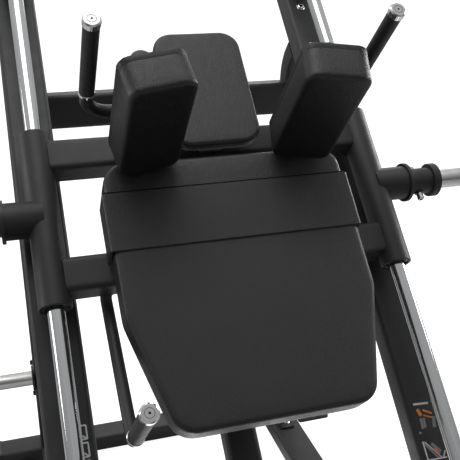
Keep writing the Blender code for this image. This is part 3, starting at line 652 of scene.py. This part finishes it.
def finish_nodes():
    """Gives each CAD node its material, and softens its facets and edges."""
    slots = {entry["node"]: entry["material_slot"] for entry in frame["record"]["subparts"]}
    for name, node in frame["nodes"].items():
        if name in PADS:
            continue
        paint = SLOT_MATERIALS[slots[name]]
        if "plate" in name and "foot_plate" not in name:
            paint = BLACK_STEEL
        mesh = node.data
        mesh.materials.clear()
        mesh.materials.append(paint)
        if "storage_horn" in name:
            paint_collar(node, min(abs(corner.x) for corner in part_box(name)) + STORAGE_COLLAR)
        if "custom_normal" in mesh.attributes:
            mesh.attributes.remove(mesh.attributes["custom_normal"])
        mesh.shade_smooth()
        weld = node.modifiers.new("weld", "WELD")
        weld.merge_threshold = 0.00002
        edge = node.modifiers.new("edge", "BEVEL")
        edge.width = 0.0009
        edge.segments = 2
        edge.limit_method = "ANGLE"
        edge.angle_limit = math.radians(50)
        split = node.modifiers.new("split", "EDGE_SPLIT")
        split.split_angle = math.radians(34)


def paint_collar(node, collar_end):
    """Paints the collar at the root of a storage horn like the frame."""
    node.data.materials.append(PAINT)
    for face in node.data.polygons:
        if abs((node.matrix_world @ face.center).x) < collar_end:
            face.material_index = 1


# ---------------------------------------------------------------- pads
CLOTH_FRAMES = 20
HELD_DEPTH = 0.004


def swell(obj, cap, held, grain):
    """Cloth pressure on a pad. Held points stay, and no point moves further than the cap."""
    voxel = obj.modifiers.new("voxel", "REMESH")
    voxel.mode = "VOXEL"
    voxel.voxel_size = grain
    apply_all(obj)
    before = [vertex.co.copy() for vertex in obj.data.vertices]
    group = obj.vertex_groups.new(name="held")
    group.add([i for i, point in enumerate(before) if held(point)], 1.0, "REPLACE")
    cloth = obj.modifiers.new("cloth", "CLOTH")
    cloth.settings.use_pressure = True
    cloth.settings.uniform_pressure_force = 4.0
    cloth.settings.vertex_group_mass = "held"
    cloth.settings.effector_weights.gravity = 0.0
    cloth.settings.tension_stiffness = 30.0
    cloth.settings.compression_stiffness = 30.0
    cloth.settings.bending_stiffness = 4.0
    cloth.point_cache.frame_start = 1
    cloth.point_cache.frame_end = CLOTH_FRAMES
    scene = bpy.context.scene
    for step in range(1, CLOTH_FRAMES + 1):
        scene.frame_set(step)
    apply_all(obj)
    scene.frame_set(1)
    moves = []
    for vertex, start in zip(obj.data.vertices, before):
        move = vertex.co - start
        moves.append(move * min(1.0, cap / max(move.length, 1e-9)))
    for vertex, start, move in zip(obj.data.vertices, before, evened(obj.data, moves)):
        vertex.co = start + Vector(move)
    smooth = obj.modifiers.new("smooth", "SMOOTH")
    smooth.iterations = 2
    smooth.factor = 0.4
    apply_all(obj)
    finer = obj.modifiers.new("finer", "SUBSURF")
    finer.levels = finer.render_levels = 1
    apply_all(obj)
    obj.data.shade_smooth()


def evened(mesh, moves, rounds=14):
    """Averages each vertex's move with its neighbours', so the skin swells without wrinkles."""
    ends = np.empty(len(mesh.edges) * 2, dtype=np.int32)
    mesh.edges.foreach_get("vertices", ends)
    first, second = ends.reshape(-1, 2).T
    count = 1.0 + np.bincount(ends, minlength=len(mesh.vertices))
    moves = np.array(moves)
    for _ in range(rounds):
        total = moves.copy()
        np.add.at(total, first, moves[second])
        np.add.at(total, second, moves[first])
        moves = total / count[:, None]
    return moves


def apply_all(obj):
    """Keeps the result of an object's modifiers as its mesh."""
    bpy.context.view_layer.update()
    graph = bpy.context.evaluated_depsgraph_get()
    result = bpy.data.meshes.new_from_object(obj.evaluated_get(graph))
    obj.modifiers.clear()
    obj.data = result


def pad(name, outline, place, low, high, edges, depth_axis, back_point, cap, grain):
    """A padded cushion from low to high on an outline, held along the board at its back."""
    build = Build()
    # The cover is cut a little small, and the cloth pressure fills it out.
    shrink = cap * 0.6
    build.slab(inset(outline, shrink), place, low, high - shrink, *edges, LEATHER, 6)
    made = build.piece(name, None)
    plane = back_point.dot(depth_axis) + HELD_DEPTH
    swell(made, cap, lambda point: point.dot(depth_axis) < plane, grain)
    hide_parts(name.replace("_cushion", ""))
    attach(made, "carriage")


def add_back_pad():
    """The back pad, which narrows towards its foot."""
    half, foot_half = 0.293, 0.2213
    top, waist, foot = 0.067, -0.305, -0.568
    low, high = 0.0452, 0.122
    corners = [(foot_half, foot), (half, waist), (half, top), (-half, top), (-half, waist),
               (-foot_half, foot)]
    outline = rounded_polygon(corners, [0.055, 0.080, 0.055, 0.055, 0.080, 0.055], 8)
    pad("back_pad_cushion", outline, on_slope, low, high, (0.012, 0.010), N_AXIS,
        on_slope(0, 0, low), cap=0.0009, grain=0.0046)


def add_head_pad():
    middle_s, low, high = 0.260, 0.0862, 0.124
    outline = [(a, middle_s + b) for a, b in rounded_rectangle(0.114, 0.166, 0.050, 8)]
    pad("head_pad_cushion", outline, on_slope, low, high, (0.014, 0.008), N_AXIS,
        on_slope(0, 0, low), cap=0.0006, grain=0.0036)


def shoulder_frame(sign):
    """Centre of a shoulder pad, and the directions across it, up it and through it."""
    turn_cos, turn_sin = math.cos(SHOULDER_TURN), sign * math.sin(SHOULDER_TURN)
    across = X_AXIS * turn_cos - S_AXIS * turn_sin
    level = S_AXIS * turn_cos + X_AXIS * turn_sin
    up = N_AXIS * math.cos(SHOULDER_LEAN) + level * math.sin(SHOULDER_LEAN)
    through = level * math.cos(SHOULDER_LEAN) - N_AXIS * math.sin(SHOULDER_LEAN)
    low, high = SHOULDER_N
    centre = on_slope(sign * SHOULDER_X, SHOULDER_S, high) - up * ((high - low) / 2)
    return centre, across, up, through


def shoulder_place(sign):
    """A function that places points across, up and through a shoulder pad."""
    centre, across, up, through = shoulder_frame(sign)
    return lambda a, b, height: centre + across * a + up * b + through * height


def flipped(place):
    """The same places with the height measured the other way."""
    return lambda a, b, height: place(a, b, -height)


def add_shoulder_pads():
    """The shoulder pads, each with a hem folded round the edge of its board."""
    outline = rounded_rectangle(0.0735, 0.162, 0.028, 8)
    back = 0.039
    hem = [(0.0320, 0.0012), (0.0335, 0.0002), (0.0480, 0.0002), (0.0488, 0.0012),
           (0.0488, 0.0030), (0.0480, 0.0034), (0.0320, 0.0034)]
    for side, sign in SIDES:
        through = shoulder_frame(sign)[3]
        place = shoulder_place(sign)
        pad(f"{side}_shoulder_pad_cushion", outline, flipped(place), -back, back, (0.0012, 0.009),
            -through, place(0, 0, back), cap=0.0006, grain=0.0036)
        build = Build()
        build.rings([[place(a, b, height) for a, b in inset(outline, draw)]
                     for height, draw in hem], LEATHER, loop=True)
        build.piece(f"{side}_shoulder_pad_hem", "carriage", crease=40.0)


def add_band():
    """A separate strip that wraps round the front and sides of the back pad, with a near-black strip
    above it that is painted shadow along its top edge.
    """
    low, high = -0.156, -0.013
    half, front, back, corner, thick = 0.2955, 0.1222, 0.046, 0.008, 0.0048

    def section(grow):
        """A line over the pad from one back edge to the other, grown outwards."""
        reach = half + grow
        top = front + grow
        line = [(reach, back), (reach, top - corner)]
        line += arc((reach - corner, top - corner), corner, 0.0, math.pi / 2, 8)
        line += [(reach - corner - 0.03 * k, top) for k in range(1, 18)]
        right = [(a, n) for a, n in line if a > 0.0]
        return right + [(-a, n) for a, n in reversed(right)]

    def hoop(outside, inside, s):
        """A closed section of a strip that lies between two such lines."""
        return [on_slope(a, s, n) for a, n in section(outside) + section(inside)[::-1]]

    lip = 0.0022
    spans = [(low + 0.0002, -lip), (low + lip, 0.0), (low + 3 * lip, 0.0), ((low + high) / 2, 0.0),
             (high - 3 * lip, 0.0), (high - lip, 0.0), (high - 0.0002, -lip)]
    band = Build()
    band.rings([hoop(thick + draw, 0.0, s) for s, draw in spans], LEATHER)
    band.piece("back_pad_band", "carriage", crease=38.0)
    # Painted shadow: a near-black strip lying on the pad just above the band's top edge.
    shadow_strip = Build()
    shadow_strip.rings([hoop(0.0009, -0.0006, s) for s in (high - 0.0010, high + 0.0036)], BAND_SHADOW)
    shadow_strip.piece("back_pad_shadow_strip", "carriage", crease=38.0)


# ---------------------------------------------------------------- small parts on the frame
def tube_cap(build, centre, out, side, half_side, half_up):
    """A push-over plastic cap on the end of a frame tube."""
    up = out.cross(side)
    depth, corner = 0.018, 0.012
    rings = []
    for along, grow in ((-depth, -0.0002), (-depth, 0.0010), (-depth + 0.0012, 0.0016),
                        (0.0008, 0.0016), (0.0026, 0.0004), (0.0032, -0.0024)):
        outline = rounded_rectangle(half_side + grow, half_up + grow, corner, 5)
        rings.append([centre + out * along + side * a + up * b for a, b in outline])
    build.rings(rings, PLASTIC)


def add_caps():
    """Caps on the tops of the rails and on both ends of the rear and front foot tubes."""
    build = Build()
    rail_half_x, rail_half_n = 0.055, 0.033
    foot_half_y, foot_half_z, foot_middle_z = 0.0475, 0.030, 0.038
    for _, sign in SIDES:
        top = on_slope(sign * RAIL_X, 0.830, RAIL_FACE_N - rail_half_n)
        tube_cap(build, top, S_AXIS, X_AXIS, rail_half_x, rail_half_n)
        rear = upright(sign * 0.640, 0.7235, foot_middle_z)
        front = upright(sign * 0.560, -1.3875, foot_middle_z)
        for centre in (rear, front):
            tube_cap(build, centre, X_AXIS * sign, Y_AXIS, foot_half_y, foot_half_z)
    build.piece("tube_caps", "frame", crease=40.0)


def add_rail_bolt(build, sign):
    """The bright bolt near the top of a rail, on its washer."""
    rail = on_slope(sign * 0.4145, 0.656, RAIL_FACE_N)
    washer = 0.0018
    build.turned(rail, N_AXIS, [(-0.0005, 0.0125), (0.0012, 0.0125), (washer, 0.0118),
                                (washer, 0.006)], BRIGHT, 32)
    build.socket_head(rail + N_AXIS * washer, N_AXIS, 0.0098, 0.0052, BRIGHT, BLACK_STEEL)


def add_clamp_screws(build, sign):
    """Four screws on each clamp of a guide rod."""
    for clamp_low in (-0.860, 0.740):
        for step in (0.013, 0.037):
            for shift in (-0.0285, 0.0285):
                build.socket_head(on_slope(sign * ROD_X + shift, clamp_low + step, 0.032), N_AXIS,
                                  0.0048, 0.0045, BLACK_STEEL, BLACK_STEEL)


def add_floor_bolts(build, sign):
    """Bolts through a rear floor plate and a joint plate."""
    for y in (0.654, 0.793):
        build.hex_head(upright(sign * 0.582, y, FLOOR_PLATE_TOP), Z_AXIS, 0.0095, 0.0075, ZINC, ZINC)
    for x, y in ((0.431, 0.556), (0.414, 0.640)):
        build.hex_head(upright(sign * x, y, BASE_TOP + JOINT_PLATE), Z_AXIS, 0.0085, 0.0065, BRIGHT,
                       BRIGHT)


def add_leg_bolts(build, sign):
    """Bolts above and below a storage horn, on the face of the leaning leg."""
    horn_height, apart = 0.371, 0.067
    for rise in (-apart, apart):
        lean = LEG_LEAN * (LEG_TOP_Z - horn_height - rise)
        build.hex_head(upright(sign * 0.482, LEG_TOP_Y + lean, horn_height + rise), X_AXIS * sign,
                       0.0085, 0.0070, BLACK_STEEL, BLACK_STEEL)


def add_gusset_bolts(build, sign):
    """Bolts through a side of the foot plate."""
    for shift in (-0.07, 0.07):
        build.hex_head(upright(sign * 0.3635, -1.02 + shift, 0.16), X_AXIS * -sign, 0.0085, 0.0065,
                       ZINC, ZINC)


def add_frame_bolts():
    build = Build()
    for _, sign in SIDES:
        add_rail_bolt(build, sign)
        add_clamp_screws(build, sign)
        add_floor_bolts(build, sign)
        add_leg_bolts(build, sign)
        add_gusset_bolts(build, sign)
    build.piece("frame_bolts", "frame", crease=30.0)


def add_joint_plates():
    """Bolted plates over the joints between the base tubes and the rear foot."""
    build = Build()
    outline = rounded_rectangle(0.0285, 0.0760, 0.006, 4)
    for _, sign in SIDES:

        def place(a, b, height, middle_x=sign * 0.4235):
            return upright(middle_x + a, 0.5995 + b, BASE_TOP + height)

        build.slab(outline, place, 0.0003, JOINT_PLATE, 0.0002, 0.0010, BLACK_STEEL, 2)
    build.piece("joint_plates", "frame", crease=30.0)


def add_storage_tips():
    """Plastic caps on the storage horns."""
    build = Build()
    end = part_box("right_storage_horn")[1].x
    for _, sign in SIDES:
        tip = middle("right_storage_horn") + X_AXIS * (sign * end)
        build.turned(tip, X_AXIS * sign, [(-0.004, 0.0252), (-0.004, PEG_RADIUS),
                                          (0.002, PEG_RADIUS), (0.0045, 0.0245),
                                          (0.0055, 0.0200), (0.0055, 0.004)], PLASTIC, 40)
    build.piece("storage_horn_tips", "frame", crease=32.0)


def add_tread():
    """Raised lozenges over the foot plate, and a bolt near each of its corners."""
    build = Build()
    tilt, plate_thickness = math.radians(25.0), 0.008
    back = Vector((0, -math.cos(tilt), math.sin(tilt)))
    normal = Vector((0, math.sin(tilt), math.cos(tilt)))
    rear = upright(0, -0.870, 0.250) + normal * plate_thickness
    columns, rows, pitch, margin = 19, 17, 0.0345, 0.031
    half_length, half_width, sides = 0.0125, 0.0042, 10
    for column in range(columns):
        for row in range(rows):
            centre = (rear + X_AXIS * ((column - (columns - 1) / 2) * pitch)
                      + back * (margin + row * pitch))
            turn = math.radians(45 if (column + row) % 2 else -45)
            along = X_AXIS * math.cos(turn) + back * math.sin(turn)
            across = X_AXIS * -math.sin(turn) + back * math.cos(turn)
            rings = []
            for height, grow in ((-0.0002, 1.0), (0.0012, 0.82), (0.0018, 0.45)):
                ring = []
                for k in range(sides):
                    t = 2 * math.pi * k / sides
                    ring.append(centre + along * (half_length * grow * math.cos(t))
                                + across * (half_width * grow * math.sin(t)) + normal * height)
                rings.append(ring)
            build.rings(rings, TREAD)
    for x in (-0.31, 0.31):
        for b in (0.045, 0.575):
            build.socket_head(rear + X_AXIS * x + back * b, normal, 0.0105, 0.0050, BRIGHT,
                              BLACK_STEEL)
    build.piece("foot_plate_tread", "frame", crease=30.0)


def split_ring(build, centre, axis, section, gap, paint, steps=48):
    """A section of (along, radius) pairs swept round, open by a gap on each side of +X."""
    up = axis.cross(X_AXIS).normalized()
    rings = []
    for i in range(steps + 1):
        t = gap + (2 * math.pi - 2 * gap) * i / steps
        arm = X_AXIS * math.cos(t) + up * math.sin(t)
        rings.append([centre + axis * along + arm * radius for along, radius in section])
    build.rings(rings, paint)


def add_seal(build, mouth, axis):
    """A rubber seal and a snap ring with two eyes, just inside a mouth that faces along the axis."""
    build.turned(mouth, axis, [(-0.0115, 0.0206), (-0.0115, 0.0298), (-0.0075, 0.0298),
                               (-0.0060, 0.0235), (-0.0050, 0.0206)], RUBBER, 40, loop=True)
    gap = math.radians(16)
    split_ring(build, mouth, axis, [(-0.0045, 0.0262), (-0.0045, 0.0301), (-0.0030, 0.0301),
                                    (-0.0030, 0.0262)], gap, ZINC)
    up = axis.cross(X_AXIS).normalized()
    for turn in (gap + 0.05, -gap - 0.05):
        arm = X_AXIS * math.cos(turn) + up * math.sin(turn)
        build.turned(mouth + arm * 0.0255 - axis * 0.0046, axis,
                     [(0.0, 0.0012), (0.0, 0.0032), (0.0018, 0.0032), (0.0018, 0.0012)],
                     ZINC, 16, loop=True)


def add_seals():
    build = Build()
    for _, sign in SIDES:
        for end, out in zip(SLEEVE_ENDS, (-1.0, 1.0)):
            add_seal(build, on_slope(sign * ROD_X, end, 0), S_AXIS * out)
    build.piece("sleeve_seals", "carriage", crease=32.0)


def add_grip_cap(build, foot, low, top):
    """A chrome cap with a satin face, a ring, a centre mark and a set screw in its side."""
    r = 0.0183
    build.turned(foot, N_AXIS, [(low, 0.0120), (low, r - 0.0006), (low + 0.0008, r),
                                (top - 0.0030, r), (top - 0.0004, r - 0.0026),
                                (top - 0.0002, r - 0.0034), (top - 0.0002, 0.0003)], BRIGHT, 48)
    build.turned(foot, N_AXIS, [(top - 0.0010, r - 0.0032), (top + 0.0001, r - 0.0034),
                                (top + 0.0002, 0.0003)], SATIN, 48)
    build.turned(foot, N_AXIS, [(top - 0.0004, 0.0080), (top + 0.0004, 0.0082),
                                (top + 0.0004, 0.0096), (top - 0.0004, 0.0098)], INK_GREY, 48,
                 loop=True)
    build.turned(foot, N_AXIS, [(top - 0.0004, 0.0027), (top + 0.0005, 0.0024),
                                (top + 0.0005, 0.0003)], BLACK_STEEL, 16)
    side = foot + N_AXIS * (low + 0.006) + X_AXIS * (r - 0.0008)
    build.turned(side, X_AXIS, [(0.0, 0.0034), (0.0012, 0.0034), (0.0013, 0.0018),
                                (0.0002, 0.0016)], BLACK_STEEL, 16)


def add_grip_collar(build, foot, low, high):
    """A chrome ring round the bar at the root of a grip."""
    build.turned(foot, N_AXIS, [(low, 0.0152), (low, 0.0172), (low + 0.001, 0.0182),
                                (high - 0.001, 0.0182), (high, 0.0172), (high, 0.0152)],
                 BRIGHT, 48, loop=True)


def add_grip_trim():
    """The caps and collars of the two handles and of the release lever."""
    handles = Build()
    for _, sign in SIDES:
        foot = on_slope(sign * HANDLE_X, HANDLE_S, 0)
        add_grip_cap(handles, foot, 0.507, 0.5235)
        add_grip_collar(handles, foot, 0.281, 0.2898)
    handles.piece("handle_trim", "carriage", crease=28.0)
    lever = Build()
    foot = on_slope(LEVER_X, LEVER_S, 0)
    add_grip_cap(lever, foot, 0.3662, 0.3825)
    add_grip_collar(lever, foot, 0.141, 0.1498)
    lever.piece("release_trim", "release_lever", crease=28.0)


def add_hub_bolt(build, hub):
    """The clamp bolt through the hub of a loading horn: a long socket head, and a nut behind."""
    face, out = 0.0335, -S_AXIS
    build.turned(hub + out * face, out, [(0.0, 0.0122), (0.0026, 0.0122), (0.0032, 0.0114),
                                         (0.0032, 0.005)], BLACK_STEEL, 28)
    build.turned(hub + out * 0.0366, out, [(0.0, 0.0082), (0.0008, 0.0088), (0.0165, 0.0088),
                                           (0.0185, 0.0076), (0.0185, 0.0046),
                                           (0.0110, 0.0043)], BRIGHT, 28)
    build.hex_head(hub + S_AXIS * face, S_AXIS, 0.0075, 0.0062, ZINC, ZINC)
    build.turned(hub + S_AXIS * 0.0400, S_AXIS, [(0.0, 0.0036), (0.0040, 0.0036),
                                                 (0.0046, 0.0030)], ZINC, 16)


def add_horn_details():
    """Clamp bolts through the horn hubs, and plastic caps on the horn bars."""
    build = Build()
    for _, sign in SIDES:
        add_hub_bolt(build, on_slope(sign * HUB_MIDDLE_X, 0, 0))
        tip = on_slope(sign * HORN_END_X, 0, 0)
        build.turned(tip, X_AXIS * sign, [(-CAP_REACH, 0.0252), (-CAP_REACH, PEG_RADIUS),
                                          (0.0020, PEG_RADIUS), (0.0050, 0.0240),
                                          (CAP_REACH, 0.0190), (CAP_REACH, 0.004)], PLASTIC, 40)
    build.piece("horn_details", "carriage", crease=30.0)


def add_carriage_bolts():
    """Bolts that hold the pads, seen from behind, and the domed tops of the shoulder posts."""
    build = Build()
    board_back = -0.047
    for _, sign in SIDES:
        place = shoulder_place(sign)
        through = shoulder_frame(sign)[3]
        for a in (-0.054, 0.054):
            for b in (-0.120, 0.145):
                build.hex_head(place(a, b, 0.0483), through, 0.0065, 0.0055, BRIGHT, BLACK_STEEL)
        for s in (0.1555, -0.1547):
            build.hex_head(on_slope(sign * 0.140, s, board_back), -N_AXIS, 0.0080, 0.0065, ZINC, ZINC)
        build.hex_head(on_slope(sign * 0.018, 0.1555, board_back), -N_AXIS, 0.0070, 0.0060, ZINC,
                       ZINC)
        post_top = on_slope(sign * 0.209, 0.151, 0.388)
        build.turned(post_top, N_AXIS, [(-0.0010, 0.0245), (0.0030, 0.0240), (0.0065, 0.0205),
                                        (0.0095, 0.0130), (0.0105, 0.0040)], PAINT, 40)
    build.piece("carriage_bolts", "carriage", crease=32.0)


def add_lever_details():
    """The lever's return spring, the cap on the end of its shaft, and the collars beside the pawl."""
    build = Build()
    turns, steps = 7, 24
    start_x, pitch, radius = 0.152, 0.0036, 0.0188
    path = []
    for i in range(turns * steps + 1):
        t = 2 * math.pi * i / steps
        path.append(on_slope(start_x + pitch * i / steps, PIVOT_S + radius * math.cos(t),
                             PIVOT_N + radius * math.sin(t)))
    build.tube(path, 0.0014, ZINC, 8)
    shaft_end = on_slope(0.216, PIVOT_S, PIVOT_N)
    build.turned(shaft_end, X_AXIS, [(-0.006, 0.0143), (-0.006, 0.0185), (-0.001, 0.0185),
                                     (0.002, 0.0160), (0.003, 0.0100), (0.003, 0.002)],
                 BLACK_STEEL, 32)
    for sign in (-1.0, 1.0):
        build.turned(on_slope(0.0082 * sign, PIVOT_S, PIVOT_N), X_AXIS * sign,
                     [(0.0, 0.0143), (0.0, 0.0215), (0.0050, 0.0215), (0.0060, 0.0205),
                      (0.0060, 0.0143)], PAINT, 36, loop=True)
    build.piece("lever_details", "release_lever", crease=30.0)


# ---------------------------------------------------------------- flat decals
FILM_UNDER = RAIL_FACE_N - 0.0002
FILM_TOP = RAIL_FACE_N + 0.00025


def flat_shape(build, outline, paint, rise):
    """A printed shape on a rail's face, from (x, s) points. Rise sets which of two lies on top."""
    build.rings([[on_slope(a, b, FILM_UNDER) for a, b in outline],
                 [on_slope(a, b, FILM_TOP + rise) for a, b in outline]], paint)


def flat_bar(build, start, end, width, paint, rise):
    a, b = Vector(start), Vector(end)
    along = (b - a).normalized()
    side = Vector((-along.y, along.x)) * (width / 2)
    flat_shape(build, [a - side, b - side, b + side, a + side], paint, rise)


def flat_disc(build, centre, radius, paint, rise, stretch=1.0):
    angles = [2 * math.pi * k / 24 for k in range(24)]
    flat_shape(build, [(centre[0] + radius * math.cos(t), centre[1] + radius * stretch * math.sin(t))
                       for t in angles], paint, rise)


def add_label():
    """A generic instruction label: plain bars and shapes, without letters."""
    build = Build()
    panel = rounded_rectangle(0.0325, 0.095, 0.003, 3)
    build.slab([(0.4135 + a, -0.650 + b) for a, b in panel], on_slope, FILM_UNDER,
               RAIL_FACE_N + 0.00035, 0.0001, 0.0001, INK_BLACK, 1)
    ink = 0.0003
    flat_bar(build, (0.392, -0.5665), (0.432, -0.5690), 0.0050, INK_WHITE, ink)
    flat_bar(build, (0.3985, -0.5790), (0.4040, -0.5960), 0.0085, INK_ORANGE, ink)
    flat_bar(build, (0.4120, -0.5830), (0.4340, -0.5950), 0.0050, INK_ORANGE, ink)
    flat_bar(build, (0.4100, -0.5960), (0.4330, -0.6050), 0.0035, INK_ORANGE, ink * 0.8)
    flat_bar(build, (0.4010, -0.6020), (0.3990, -0.6270), 0.0075, INK_GREY, ink * 0.9)
    flat_bar(build, (0.4090, -0.6020), (0.4060, -0.6250), 0.0060, INK_GREY, ink * 0.8)
    flat_bar(build, (0.4350, -0.6020), (0.4300, -0.6280), 0.0085, INK_GREY, ink * 0.9)
    flat_disc(build, (0.3885, -0.6350), 0.0036, INK_GREY, ink, 0.7)
    flat_bar(build, (0.3880, -0.6560), (0.3880, -0.7000), 0.0034, INK_WHITE, ink)
    flat_bar(build, (0.3870, -0.7000), (0.4380, -0.7010), 0.0034, INK_WHITE, ink * 1.1)
    flat_bar(build, (0.3880, -0.6570), (0.4180, -0.7000), 0.0056, INK_GREY, ink * 0.9)
    flat_bar(build, (0.3925, -0.6570), (0.4250, -0.6990), 0.0022, INK_WHITE, ink)
    flat_bar(build, (0.4290, -0.7000), (0.4390, -0.6850), 0.0030, INK_WHITE, ink * 1.2)
    flat_bar(build, (0.4080, -0.6640), (0.4270, -0.6860), 0.0080, INK_GREY, ink * 1.3)
    flat_disc(build, (0.4140, -0.6790), 0.0040, INK_ORANGE, ink * 1.6)
    flat_bar(build, (0.4120, -0.6760), (0.4220, -0.6900), 0.0030, INK_ORANGE, ink * 1.5)
    build.piece("rail_label", "frame", crease=30.0)


def add_dashes():
    """A plain row of open boxes, each with a slash, down the inner part of the other rail."""
    build = Build()
    length, pitch, inner, outer, stroke = 0.030, 0.038, -0.3905, -0.4300, 0.0034
    for count in range(6):
        top = -0.478 - count * pitch
        low = top - length
        flat_bar(build, (inner, top), (inner, low), stroke, INK_WHITE, 0.0002)
        flat_bar(build, (outer, top), (outer, low), stroke, INK_WHITE, 0.0002)
        flat_bar(build, (outer, top), (inner, top), stroke, INK_WHITE, 0.0003)
        flat_bar(build, (outer, low), (inner, low), stroke, INK_WHITE, 0.0003)
        flat_bar(build, (outer, top), (inner, low), stroke, INK_WHITE, 0.0004)
    build.piece("rail_dashes", "frame", crease=30.0)


add_stage()
finish_nodes()
add_back_pad()
add_band()
add_head_pad()
add_shoulder_pads()
add_caps()
add_frame_bolts()
add_joint_plates()
add_storage_tips()
add_tread()
add_seals()
add_grip_trim()
add_horn_details()
add_carriage_bolts()
add_lever_details()
add_label()
add_dashes()
